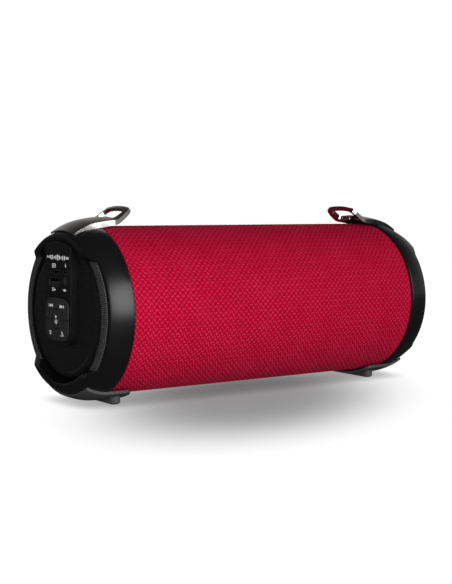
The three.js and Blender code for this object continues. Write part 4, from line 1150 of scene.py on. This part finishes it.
def panel_shape(p):
    """The tongue: a face with openings for the keys and sockets, and walls down to the web."""
    face = node_span("control_panel")[1].x
    back = node_span("control_panel")[0].x
    under = face - p.wall
    holes = [
        keypad_outline(p.key_gap),
        node_outline("usb_socket", GAP, 0.5 * MM),
        node_outline("card_socket", GAP, 0.4 * MM),
        node_outline("charge_socket", GAP, 0.8 * MM),
        node_outline("audio_jack", GAP, 2.99 * MM),
    ]
    spacing = 2.2 * MM
    holes = [even(h, spacing) for h in holes]
    outer = even(panel_outline(0), spacing)
    inner = even(panel_outline(-p.side_wall), spacing)
    top_points, top_faces, top_numbers = filled([outer, *holes], spacing)
    low_points, low_faces, low_numbers = filled([inner, *holes], spacing)
    start = len(top_points)
    wall_start = start + len(low_points)
    outer_back = wall_start + np.arange(len(outer))
    inner_back = wall_start + len(outer) + np.arange(len(inner))
    verts = np.concatenate([
        flat_at("left", face)(*top_points.T), flat_at("left", under)(*low_points.T),
        flat_at("left", back)(*outer.T), flat_at("left", back)(*inner.T),
    ])
    rim_faces = filled([outer, inner], spacing * 10)[1]
    faces = [
        top_faces, low_faces[:, ::-1] + start, rim_faces + wall_start,
        band(top_numbers[0], outer_back), band(inner_back, low_numbers[0] + start),
        *[band(a, b + start) for a, b in zip(top_numbers[1:], low_numbers[1:])],
    ]
    return verts, faces


def corner_key_outline(p, across, up):
    """One quarter of the keypad, less the centre key: out along the seam, round the outer
    corner, back along the other seam and round the centre key's corner."""
    y0, z0, width, height = keypad_box()
    low, high = node_span("key_play")
    seam = p.key_gap / 2
    centre_y, centre_z = (high.y - low.y) / 2 + p.key_gap, (high.z - low.z) / 2 + p.key_gap
    half_y, half_z = width / 2, height / 2
    turn = np.linspace(0, np.pi / 2, 9)
    r = p.keypad_corner
    outer = np.stack([half_y - r + r * np.cos(turn), half_z - r + r * np.sin(turn)], axis=-1)
    c = p.centre_corner + p.key_gap
    inner = np.stack([centre_y - c + c * np.cos(turn), centre_z - c + c * np.sin(turn)], axis=-1)
    first = rounded([(centre_y, seam), (half_y, seam), outer[0]], [0.5 * MM, 0.8 * MM, 0], 4)[:8]
    last = rounded([outer[-1], (seam, half_z), (seam, centre_z)], [0, 0.8 * MM, 0.5 * MM], 4)[4:]
    loop = np.concatenate([first, outer, last, inner[::-1]])
    loop = loop * (across, up)
    if across * up < 0:
        loop = loop[::-1]
    return loop + (y0, z0)


def key_shape(p, outline, node):
    """A key with a soft crown: its face rises as 1 - (y / a)^4 - (z / b)^4 over the keypad."""
    low, high = node_span(node)
    y0, z0, width, height = keypad_box()

    def face(y, z):
        """The crowned face at (y, z)."""
        fall = ((y - y0) / (width / 2)) ** 4 + ((z - z0) / (height / 2)) ** 4
        return on_end("left", high.x - p.key_crown * np.clip(fall, 0, 1), y, z)

    return plate([outline], 0.9 * MM, face, flat_at("left", low.x))


# ---------------------------------------------------------------- marks


def bar(y, z, width, height):
    """A rectangle about its middle."""
    return np.array([(y - width / 2, z - height / 2), (y + width / 2, z - height / 2),
                     (y + width / 2, z + height / 2), (y - width / 2, z + height / 2)])


def arrow_head(y, z, size, towards):
    """A triangle that points along +y or -y."""
    return np.array([(y - towards * size / 2, z - size / 2), (y + towards * size / 2, z),
                     (y - towards * size / 2, z + size / 2)])


def stroke_arc(y, z, radius, start, stop, width, steps=20):
    """A part of a ring, as a closed outline."""
    turn = np.radians(np.linspace(start, stop, steps))
    outer = np.stack([np.cos(turn), np.sin(turn)], axis=-1) * (radius + width / 2)
    inner = np.stack([np.cos(turn), np.sin(turn)], axis=-1)[::-1] * (radius - width / 2)
    return np.concatenate([outer, inner]) + (y, z)


def frame_of(y, z, width, height, stroke):
    """A rectangle's outline as four bars."""
    return [
        bar(y, z + height / 2, width + stroke, stroke), bar(y, z - height / 2, width + stroke, stroke),
        bar(y - width / 2, z, stroke, height), bar(y + width / 2, z, stroke, height),
    ]


def marks_shape(p, u, outlines):
    """Thin printed shapes that stand on a face at a place along u."""

    def level(value):
        """The same u at every (y, z)."""
        return lambda y, z: on_end("left", np.full_like(y, value), y, z)

    thick = p.mark
    return joined(*[plate([o], 5 * MM, level(u + thick), level(u - thick)) for o in outlines])


def wave_mark(y, z, width, height):
    """A row of upright bars whose heights follow |sin| under a bell: a sound level meter."""
    places = np.linspace(-1, 1, 13)
    tall = height * (0.28 + 0.72 * np.abs(np.cos(places * 5.2)) * np.exp(-(places**2)))
    return [bar(y + a * width / 2, z, width / 26, h) for a, h in zip(places, tall)]


def skip_mark(y, z, towards):
    """Two arrow heads and a bar: on to the next or back to the last."""
    s = 2.2 * MM
    return [
        arrow_head(y - towards * 0.9 * s, z, s, towards),
        arrow_head(y + towards * 0.05 * s, z, s, towards),
        bar(y + towards * 0.8 * s, z, 0.4 * MM, s),
    ]


def mode_mark(y, z, p):
    """Three stacked lines of falling length."""
    return [bar(y, z + (1 - k) * 0.95 * MM, (3.2 - 0.9 * k) * MM, p.stroke) for k in range(3)]


def pair_mark(y, z, p):
    """Two arcs that leave a dot: a wireless link."""
    dot = circle(y - 1.3 * MM, z - 1.1 * MM, 0.45 * MM, 12)
    arcs = [stroke_arc(y - 1.3 * MM, z - 1.1 * MM, r * MM, 0, 90, p.stroke) for r in (1.5, 2.7)]
    return [dot, *arcs]


def play_mark(y, z, p):
    """A play triangle over a small ring: play, and hold to switch on."""
    ring = [
        stroke_arc(y, z - 1.7 * MM, 1.15 * MM, 120, 420, p.stroke, 28),
        bar(y, z - 0.75 * MM, p.stroke, 1.3 * MM),
    ]
    return [arrow_head(y + 0.1 * MM, z + 1.7 * MM, 2.1 * MM, 1), *ring]


def stick_mark(y, z, p):
    """A memory stick: a body and a narrower plug."""
    body = frame_of(y - 0.6 * MM, z, 2.6 * MM, 1.7 * MM, p.stroke)
    return [*body, bar(y + 1.7 * MM, z, 1.2 * MM, 1.0 * MM)]


def card_mark(y, z, p):
    """A memory card with three contacts."""
    pins = [bar(y + k * 1.1 * MM, z + 0.1 * MM, p.stroke, 1.0 * MM) for k in (-1, 0, 1)]
    return [*frame_of(y, z, 4.2 * MM, 2.2 * MM, p.stroke), *pins]


def plug_mark(y, z, p):
    """A round plug on a lead."""
    return [
        bar(y, z, 1.5 * MM, 1.3 * MM), bar(y + 1.3 * MM, z, 1.1 * MM, 0.5 * MM),
        bar(y - 1.5 * MM, z, 1.5 * MM, p.stroke),
    ]


def charge_mark(y, z):
    """A lightning stroke."""
    s = 1.0 * MM
    zigzag = np.array([
        (0.35, 1.5), (-0.9, -0.2), (-0.1, -0.2), (-0.4, -1.5), (0.9, 0.35), (0.1, 0.35),
    ]) * s
    return [zigzag[::-1] + (y, z)]


# ---------------------------------------------------------------- sockets


def socket_shell(node, sheet=0.4 * MM, corner=0.5 * MM):
    """A pressed shell: an open tube of rectangular section with a closed back."""
    low, high = node_span(node)
    outer = node_outline(node, 0, corner)
    inner = node_outline(node, -sheet, max(corner, sheet + 0.1 * MM))
    tube = plate([outer, inner], 2.5 * MM, flat_at("left", high.x), flat_at("left", low.x + 0.5 * MM))
    back = plate([outer], 4 * MM, flat_at("left", low.x + 0.5 * MM), flat_at("left", low.x))
    return joined(tube, back)


def slab(u0, u1, y, z, width, height):
    """A rounded bar along u."""
    outline = round_box(y, z, width, height, min(width, height) * 0.2, 3)
    return plate([outline], 5 * MM, flat_at("left", u1), flat_at("left", u0))


def jack_shape(node):
    """A turned collar with a chamfered mouth, open to its bore."""
    low, high = node_span(node)
    radius, bore = (high.y - low.y) / 2, 1.85 * MM
    outline = rounded(
        [(0, low.x), (radius, low.x), (radius, high.x), (bore + 0.5 * MM, high.x),
         (bore, high.x - 0.7 * MM), (bore, low.x + 1.6 * MM), (0, low.x + 1.6 * MM)],
        [0, 0.2 * MM, 0.35 * MM, 0.1 * MM, 0.1 * MM, 0, 0], 4,
    )
    return lathe("left", outline, (low.y + high.y) / 2, (low.z + high.z) / 2, 32)


# ---------------------------------------------------------------- cloth


def sleeve_shape(cloth):
    """The sleeve: radius R less relief (1 + cos(2 pi a) cos(2 pi b)) / 2, where a and b count
    cells of the weave round and along, and less a tuck at each end. A plain inner wall closes
    it."""
    round_steps, along_steps = cloth.cells_round * 4, cloth.cells_along * 4
    a = np.arange(round_steps)[None, :] / 4
    b = np.arange(along_steps + 1)[:, None] / 4
    half = LIP - GAP
    x = -half + 2 * half * b / cloth.cells_along
    opening = np.cos(2 * np.pi * a) * np.cos(2 * np.pi * b)
    close = np.clip((half - np.abs(x)) / cloth.tuck_run, 0, 1)
    tuck = cloth.tuck * (1 - close) ** 2
    radius = CLOTH_RADIUS - cloth.relief * (1 + opening) / 2 * close - tuck
    angle = -np.pi / 2 + 2 * np.pi * a / cloth.cells_round

    def round_tube(along, reach):
        """(along, reach) turned round the axis of the cloth."""
        return np.stack(np.broadcast_arrays(
            MIDDLE_X + along, -reach * np.cos(angle), AXIS_Z + reach * np.sin(angle),
        ), axis=-1)

    outer = round_tube(x, radius)
    inner = round_tube(np.array([half, -half])[:, None], CLOTH_RADIUS - cloth.thickness)
    points = np.concatenate([outer, inner])
    return points, quads(len(points), round_steps, True, True)


def map_cloth(mesh, cloth, faces, round_steps):
    """The sleeve's map: one unit is one cell, round (first) and along (second)."""
    layer = mesh.uv_layers.new(name="cloth")
    vertex = faces.reshape(-1)
    row, column = np.divmod(vertex, round_steps)
    column = column.reshape(-1, 4)
    wraps = (column.max(axis=1) - column.min(axis=1)) > round_steps / 2
    column = np.where(wraps[:, None] & (column == 0), round_steps, column).reshape(-1)
    inner = row > cloth.cells_along * 4
    along = np.where(inner, (cloth.cells_along * 4 + 1 - row) * -2 + cloth.cells_along * 4, row)
    cells = np.stack([column / 4, along / 4], axis=-1).astype(np.float32)
    layer.data.foreach_set("uv", cells.reshape(-1))


def seam_shape(cloth):
    """The tape that closes the sleeve underneath: a shallow arch carried along the tube."""
    half, width = LIP - GAP - cloth.tuck_run, cloth.seam_width / 2
    plan = round_box(0, 0, half * 2, width * 2, 0.6 * MM, 4)

    def at(height):
        """The cloth's underside raised by a height that falls off as 1 - (y / width)^4."""

        def place(x, y):
            rise = height * (1 - (y / width) ** 4)
            radius = CLOTH_RADIUS - 0.15 * MM + rise
            return np.stack([MIDDLE_X + x, y, AXIS_Z - np.sqrt(radius**2 - y**2)], axis=-1)

        return place

    return plate([plan], 1.6 * MM, at(cloth.seam_height), at(0.0))


def stitches_shape(cloth):
    """Two rows of short threads on the tape: each is a small eight-sided spindle."""
    half = LIP - GAP - 4 * MM
    places = np.arange(-half, half, cloth.stitch_pitch)
    x, row = np.meshgrid(places, np.array([-1.0, 1.0]), indexing="ij")
    x, y = x.ravel()[:, None, None], (row * cloth.seam_width * 0.28).ravel()[:, None, None]
    s = np.array([-1.0, -0.6, 0.0, 0.6, 1.0])[None, :, None]
    thick = 0.28 * MM * np.sqrt(np.maximum(1 - s**2, 0.02))
    turn = (np.arange(8) * np.pi / 4)[None, None, :]
    base = AXIS_Z - CLOTH_RADIUS - cloth.seam_height * 0.55
    points = np.stack(np.broadcast_arrays(
        MIDDLE_X + x + s * cloth.stitch_pitch * 0.36,
        y + thick * np.cos(turn), base + thick * np.sin(turn),
    ), axis=-1)
    tube = quads(5, 8, False, True)
    shift = (np.arange(len(points)) * 40)[:, None, None]
    caps = np.array([np.arange(8), np.arange(32, 40)])
    faces = [(tube[None] + shift).reshape(-1, 4), (caps[None] + shift).reshape(-1, 8)]
    return points.reshape(-1, 3), faces


# ---------------------------------------------------------------- operators


class SPEAKER_OT_sleeve(bpy.types.Operator):
    """Weave the cloth sleeve and sew its seam"""

    bl_idname = "speaker.sleeve"
    bl_label = "Sleeve"

    def execute(self, context):
        cloth, paint = context.scene.speaker_cloth, paints()
        points, faces = sleeve_shape(cloth)
        piece = add_piece("woven_sleeve", (points.reshape(-1, 3), [faces]), paint["crimson weave"],
                          ["fabric_sleeve"], sharp=60.0)
        if len(piece.data.polygons) != len(faces):
            raise RuntimeError("the sleeve lost faces")
        numbers = np.empty(len(piece.data.loops), np.int32)
        piece.data.loops.foreach_get("vertex_index", numbers)
        map_cloth(piece.data, cloth, numbers.reshape(-1, 4), cloth.cells_round * 4)
        add_piece("sleeve_seam", seam_shape(cloth), paint["crimson tape"])
        add_piece("sleeve_stitches", stitches_shape(cloth), paint["crimson thread"])
        return {"FINISHED"}


class SPEAKER_OT_caps(bpy.types.Operator):
    """Mould the two end caps and their ribbed trims"""

    bl_idname = "speaker.caps"
    bl_label = "Caps"

    def execute(self, context):
        cap, trim, paint = context.scene.speaker_cap, context.scene.speaker_trim, paints()
        for side in SIDES:
            add_piece(f"{side}_end_cap", cap_shape(cap, side), paint["satin black"],
                      [f"{side}_cap"])
            for place, facing in (("front", -1), ("rear", 1)):
                facing = facing if side == "right" else -facing
                add_piece(f"{side}_ribbed_{place}", trim_shape(cap, trim, side, facing),
                          paint["trim black"], [f"{side}_trim_{place}"],
                          sharp=50.0)
        return {"FINISHED"}


class SPEAKER_OT_grilles(bpy.types.Operator):
    """Punch and roll the two grilles"""

    bl_idname = "speaker.grilles"
    bl_label = "Grilles"

    def execute(self, context):
        grille, paint = context.scene.speaker_grille, paints()
        for side in SIDES:
            piece = add_piece(f"{side}_punched_grille", grille_shape(grille, side), paint["grille coat"],
                              [f"{side}_grille"], sharp=50.0)
            sheet = piece.modifiers.new("Sheet", "SOLIDIFY")
            sheet.thickness = grille.sheet
            sheet.offset = -1.0
        return {"FINISHED"}


class SPEAKER_OT_brackets(bpy.types.Operator):
    """Cast and polish the two strap brackets"""

    bl_idname = "speaker.brackets"
    bl_label = "Strap brackets"

    def execute(self, context):
        cap, bracket, paint = context.scene.speaker_cap, context.scene.speaker_bracket, paints()
        for side in SIDES:
            add_piece(f"{side}_cast_bracket", bracket_shape(cap, bracket, side), paint["bright chrome"],
                      [f"{side}_strap_bracket"], edge=bracket.edge, sharp=40.0)
        return {"FINISHED"}


class SPEAKER_OT_feet(bpy.types.Operator):
    """Mould the foot holders and their rubber pads"""

    bl_idname = "speaker.feet"
    bl_label = "Feet"

    def execute(self, context):
        cap, foot, paint = context.scene.speaker_cap, context.scene.speaker_foot, paints()
        for side in SIDES:
            add_piece(f"{side}_foot_carrier", holder_shape(cap, foot, side), paint["inner plastic"],
                      [f"{side}_foot_holder"], edge=foot.edge)
            add_piece(f"{side}_rubber_foot", pad_shape(foot, side), paint["black rubber"],
                      [f"{side}_foot_pad"])
        return {"FINISHED"}


class SPEAKER_OT_panel(bpy.types.Operator):
    """Make the control panel, its keys, sockets and marks"""

    bl_idname = "speaker.panel"
    bl_label = "Control panel"

    def execute(self, context):
        p, paint = context.scene.speaker_panel, paints()
        add_piece("control_tongue", panel_shape(p), paint["panel black"],
                  ["control_panel"], edge=p.edge)
        self.keys(p, paint)
        self.sockets(paint)
        self.marks(p, paint)
        return {"FINISHED"}

    def keys(self, p, paint):
        """Four corner keys and a centre key, each with its mark, on their own bodies."""
        y0, z0 = keypad_box()[:2]
        top = node_span("key_play")[1].x
        mark_across, mark_up = 0.52, 0.64  # how far out on the keypad the corner marks stand
        height = top - p.key_crown * (mark_across**4 + mark_up**4)
        corner_marks = {
            "key_previous": (-1, 1, skip_mark(y0 - 7.7 * MM, z0 + 8.7 * MM, -1)),
            "key_next": (1, 1, skip_mark(y0 + 7.7 * MM, z0 + 8.7 * MM, 1)),
            "key_mode": (-1, -1, mode_mark(y0 - 7.7 * MM, z0 - 9.3 * MM, p)),
            "key_pair": (1, -1, pair_mark(y0 + 7.9 * MM, z0 - 9.3 * MM, p)),
        }
        for node, (across, up, mark) in corner_marks.items():
            outline = corner_key_outline(p, across, up)
            add_piece(f"{node}_cap", key_shape(p, outline, node), paint["key silicone"],
                      [node], body=node, edge=p.key_edge)
            add_piece(f"{node}_mark", marks_shape(p, height, mark), paint["grey print"],
                      body=node)
        outline = node_outline("key_play", 0, p.centre_corner)
        add_piece("key_play_cap", key_shape(p, outline, "key_play"), paint["key silicone"],
                  ["key_play"], body="key_play", edge=p.key_edge)
        add_piece("key_play_mark", marks_shape(p, top, play_mark(y0, z0, p)), paint["grey print"],
                  body="key_play")

    def sockets(self, paint):
        """Shells for the three flat sockets with their tongues and contacts, and a round jack."""
        for node, corner in (("usb_socket", 0.6), ("card_socket", 0.4), ("charge_socket", 1.0)):
            add_piece(f"{node}_shell", socket_shell(node, corner=corner * MM), paint["nickel shell"],
                      [node])
        low, high = node_span("usb_socket")
        y, bottom = (low.y + high.y) / 2, low.z + 0.75 * MM
        front, back = high.x - 1.2 * MM, low.x + 0.5 * MM
        add_piece("usb_tongue", slab(back, front, y, bottom + 0.95 * MM, 11.0 * MM, 1.9 * MM),
                  paint["jack plastic"])
        pitch, level = 2.3 * MM, bottom + 1.95 * MM
        contacts = [
            slab(back, front - 1.0 * MM, y + k * pitch, level, 1.1 * MM, 0.25 * MM)
            for k in (-1.5, -0.5, 0.5, 1.5)
        ]
        add_piece("usb_contacts", joined(*contacts), paint["gold contact"])
        low, high = node_span("charge_socket")
        add_piece("charge_tongue", slab(low.x + 0.5 * MM, high.x - 1.0 * MM, (low.y + high.y) / 2,
                                        (low.z + high.z) / 2, 4.6 * MM, 0.7 * MM),
                  paint["jack plastic"])
        add_piece("jack_collar", jack_shape("audio_jack"), paint["jack plastic"],
                  ["audio_jack"])
        low, high = node_span("audio_jack")
        add_piece("jack_spring", slab(low.x + 1.6 * MM, high.x - 2.0 * MM, (low.y + high.y) / 2,
                                      (low.z + high.z) / 2 + 1.2 * MM, 1.2 * MM, 0.5 * MM),
                  paint["nickel shell"])

    def marks(self, p, paint):
        """Marks printed on the panel: a level meter over a mark beside each socket."""
        face = node_span("control_panel")[1].x
        outlines = [
            *wave_mark(0.0, 36.1 * MM, 27.0 * MM, 3.8 * MM),
            *card_mark(-5.0 * MM, 30.6 * MM, p), *charge_mark(10.2 * MM, 31.1 * MM),
            *stick_mark(-5.2 * MM, 14.9 * MM, p), *plug_mark(9.3 * MM, 15.2 * MM, p),
        ]
        add_piece("panel_marks", marks_shape(p, face, outlines), paint["grey print"])


class SPEAKER_OT_inner(bpy.types.Operator):
    """Finish the pieces inside, which keep the frame's own shapes"""

    bl_idname = "speaker.inner"
    bl_label = "Inner pieces"

    def execute(self, context):
        paint = paints()
        by_slot = {
            "driver_paper": "driver paper",
            "surround_rubber": "black rubber",
            "keypad_silicone": "black rubber",
            "zinc_steel": "plated steel",
            "pressed_steel": "pressed steel",
            "ferrite": "ferrite",
            "green_board": "solder mask",
            "inner_plastic": "inner plastic",
            "cell_wrap": "cell wrap",
            "lead_insulation": "lead jacket",
        }
        for row in frame["record"]["subparts"]:
            finish = by_slot.get(row["material_slot"])
            if finish is None:
                continue
            mesh = NODES[row["node"]].data
            mesh.materials.clear()
            mesh.materials.append(paint[finish])
        return {"FINISHED"}


class SPEAKER_OT_stage(bpy.types.Operator):
    """Set the floor, the soft lights and the camera"""

    bl_idname = "speaker.stage"
    bl_label = "Stage"

    def execute(self, context):
        stage = context.scene.speaker_stage
        self.floor(context, stage)
        self.world(context, stage)
        self.lights(context, stage)
        self.camera(context, stage)
        context.scene.view_settings.view_transform = "Standard"
        return {"FINISHED"}

    def floor(self, context, stage):
        """A floor that looks white to the camera but for a painted soft oval shade and a painted contact
        shadow, and gives back a little light. Neither is cast by the lamps: the shade is
        exp(-d^falloff), where d is the distance from its middle in units of its two reaches, and the
        contact shadow darkens by the floor's ambient occlusion."""
        reach, falloff = 12.0, 3.8
        mesh = bpy.data.meshes.new("floor")
        corners = [(-reach, -reach, 0), (reach, -reach, 0), (reach, reach, 0), (-reach, reach, 0)]
        mesh.from_pydata(corners, [], [(0, 1, 2, 3)])
        floor = bpy.data.objects.new("floor", mesh)
        context.scene.collection.objects.link(floor)
        finish = Finish("studio floor", context.scene.speaker_colours.floor, 0.95)
        finish.set("Specular IOR Level", 0.0)
        finish.set("Emission Color", (1.0, 1.0, 1.0, 1.0))
        rays = finish.node("ShaderNodeLightPath").outputs
        where = finish.node("ShaderNodeTexCoord").outputs["Object"]
        pool = finish.node("ShaderNodeMapping", {"vector_type": "TEXTURE"}, Vector=where)
        pool.inputs["Location"].default_value = (MIDDLE_X + stage.shade_x, stage.shade_y, 0.0)
        pool.inputs["Rotation"].default_value = (0.0, 0.0, math.radians(stage.shade_turn))
        pool.inputs["Scale"].default_value = (stage.shade_width, stage.shade_length, 1.0)
        away = finish.node("ShaderNodeVectorMath", {"operation": "LENGTH"}, i0=pool.outputs[0])
        spread = finish.math("POWER", away.outputs["Value"], falloff)
        fade = finish.math("EXPONENT", finish.math("MULTIPLY", spread, -1.0))
        shade_pool = finish.math("MULTIPLY_ADD", fade, -stage.shade_depth, stage.floor_white)
        # Painted contact shadow: the floor's ambient occlusion darkens what the camera sees.
        touching = stage.contact_reach
        contact = finish.node("ShaderNodeAmbientOcclusion", {"samples": 12}, Distance=touching)
        contact = finish.ramp(contact.outputs["AO"], 0.0, 0.8, 0.5, 1.0)
        seen = finish.math("MULTIPLY", shade_pool, contact)
        not_gloss = finish.math("SUBTRACT", 1.0, rays["Is Glossy Ray"])
        not_camera = finish.math("SUBTRACT", 1.0, rays["Is Camera Ray"])
        given = finish.math("MULTIPLY", not_gloss, stage.floor_glow)
        given = finish.math("MULTIPLY", given, not_camera)
        strength = finish.math("MULTIPLY_ADD", seen, rays["Is Camera Ray"], given)
        finish.put(strength, "Emission Strength")
        mesh.materials.append(finish.material)

    def world(self, context, stage):
        """A backdrop that is white to the camera alone. The object is lit by a dimmer room, which
        falls off from the horizon upwards and towards the controls' end."""
        world = bpy.data.worlds.new("studio")
        context.scene.world = world
        world.use_nodes = True
        tree = world.node_tree
        background = tree.nodes["Background"]
        where = tree.nodes.new("ShaderNodeTexCoord")
        parts = tree.nodes.new("ShaderNodeSeparateXYZ")
        rays = tree.nodes.new("ShaderNodeLightPath")
        ramp = tree.nodes.new("ShaderNodeMapRange")
        ramp.interpolation_type = "SMOOTHSTEP"
        ramp.inputs[1].default_value, ramp.inputs[2].default_value = stage.dim_from, stage.dim_to
        ramp.inputs[3].default_value, ramp.inputs[4].default_value = stage.horizon, stage.zenith
        across = tree.nodes.new("ShaderNodeMapRange")
        across.interpolation_type = "SMOOTHSTEP"
        across.inputs[1].default_value, across.inputs[2].default_value = -0.75, 0.1
        across.inputs[3].default_value, across.inputs[4].default_value = stage.end_dim, 1.0
        both = tree.nodes.new("ShaderNodeMath")
        both.operation = "MULTIPLY"
        seen = tree.nodes.new("ShaderNodeMath")
        seen.operation = "MAXIMUM"
        tree.links.new(where.outputs["Generated"], parts.inputs[0])
        tree.links.new(parts.outputs["Z"], ramp.inputs[0])
        tree.links.new(parts.outputs["X"], across.inputs[0])
        tree.links.new(ramp.outputs[0], both.inputs[0])
        tree.links.new(across.outputs[0], both.inputs[1])
        tree.links.new(rays.outputs["Is Camera Ray"], seen.inputs[0])
        tree.links.new(both.outputs[0], seen.inputs[1])
        tree.links.new(seen.outputs[0], background.inputs["Strength"])
        background.inputs["Color"].default_value = (1.0, 1.0, 1.0, 1.0)

    def lights(self, context, stage):
        """A front softbox, the only one that shows in gloss, and three more above, behind and
        beside. Each stands at an offset from the middle of the tube and is aimed at it."""
        centre = Vector((MIDDLE_X, 0.0, AXIS_Z))
        turn, height = math.radians(stage.key_azimuth), math.radians(stage.key_elevation)
        level = math.cos(height)
        towards = Vector((math.sin(turn) * level, -math.cos(turn) * level, math.sin(height)))
        size = (stage.key_width, stage.key_height)
        self.softbox(context, "front_softbox", stage.key_power, centre, towards * 1.4, size, True)
        others = (
            ("top_softbox", stage.fill_power, (-0.1, -0.25, 1.7), (1.6, 1.2)),
            ("back_softbox", stage.back_power, (0.75, 1.2, 0.4), (1.2, 0.8)),
            ("side_lamp", stage.side_power, (-0.42, -0.40, 0.06), (0.16, 0.22)),
        )
        for name, power, offset, size in others:
            self.softbox(context, name, power, centre, Vector(offset), size, False)

    def softbox(self, context, name, power, centre, offset, size, seen_in_gloss):
        """A rectangular lamp at an offset from a centre, facing it."""
        light = bpy.data.lights.new(name, "AREA")
        light.shape = "RECTANGLE"
        light.size, light.size_y = size
        light.energy = power
        lamp = bpy.data.objects.new(name, light)
        context.scene.collection.objects.link(lamp)
        lamp.location = centre + offset
        lamp.rotation_mode = "QUATERNION"
        lamp.rotation_quaternion = (-offset).to_track_quat("-Z", "Y")
        lamp.visible_camera = False
        lamp.visible_glossy = seen_in_gloss

    def camera(self, context, stage):
        """A camera on a sphere round its target, turned about its own line of sight by the roll."""
        lens = bpy.data.cameras.new("camera")
        lens.lens = stage.lens
        lens.sensor_width = 36.0
        camera = bpy.data.objects.new("camera", lens)
        context.scene.collection.objects.link(camera)
        azimuth, elevation = math.radians(stage.azimuth), math.radians(stage.elevation)
        back = Vector((
            math.sin(azimuth) * math.cos(elevation),
            -math.cos(azimuth) * math.cos(elevation),
            math.sin(elevation),
        ))
        target = Vector((MIDDLE_X + stage.target_x, 0.0, AXIS_Z + stage.target_z))
        camera.location = target + back * stage.distance
        camera.rotation_mode = "QUATERNION"
        roll = Quaternion((0.0, 0.0, 1.0), math.radians(stage.roll))
        camera.rotation_quaternion = (-back).to_track_quat("-Z", "Y") @ roll
        context.scene.camera = camera


class SPEAKER_PT_pieces(bpy.types.Panel):
    """The speaker's pieces, sizes and colours"""

    bl_label = "Tube speaker"
    bl_idname = "SPEAKER_PT_pieces"
    bl_space_type = "VIEW_3D"
    bl_region_type = "UI"
    bl_category = "Speaker"

    def draw(self, context):
        for operator in OPERATORS:
            self.layout.operator(operator.bl_idname)
        for name in GROUPS:
            group = getattr(context.scene, name)
            box = self.layout.box()
            for key in group.__annotations__:
                box.prop(group, key)


GROUPS = {
    "speaker_cloth": ClothSizes,
    "speaker_cap": CapSizes,
    "speaker_trim": TrimSizes,
    "speaker_grille": GrilleSizes,
    "speaker_bracket": BracketSizes,
    "speaker_foot": FootSizes,
    "speaker_panel": PanelSizes,
    "speaker_colours": Colours,
    "speaker_stage": StageSizes,
}

OPERATORS = (
    SPEAKER_OT_stage,
    SPEAKER_OT_sleeve,
    SPEAKER_OT_caps,
    SPEAKER_OT_grilles,
    SPEAKER_OT_brackets,
    SPEAKER_OT_feet,
    SPEAKER_OT_panel,
    SPEAKER_OT_inner,
)


def register():
    """Make the sizes, the operators and the panel known."""
    for group in GROUPS.values():
        bpy.utils.register_class(group)
    for operator in OPERATORS:
        bpy.utils.register_class(operator)
    bpy.utils.register_class(SPEAKER_PT_pieces)
    for name, group in GROUPS.items():
        setattr(bpy.types.Scene, name, PointerProperty(type=group))


def unregister():
    """Take them away again, last first."""
    for name in GROUPS:
        delattr(bpy.types.Scene, name)
    bpy.utils.unregister_class(SPEAKER_PT_pieces)
    for operator in reversed(OPERATORS):
        bpy.utils.unregister_class(operator)
    for group in reversed(GROUPS.values()):
        bpy.utils.unregister_class(group)


def main():
    """Run every operator in order."""
    register()
    for operator in OPERATORS:
        family, action = operator.bl_idname.split(".")
        getattr(getattr(bpy.ops, family), action)()


if __name__ == "__main__":
    main()
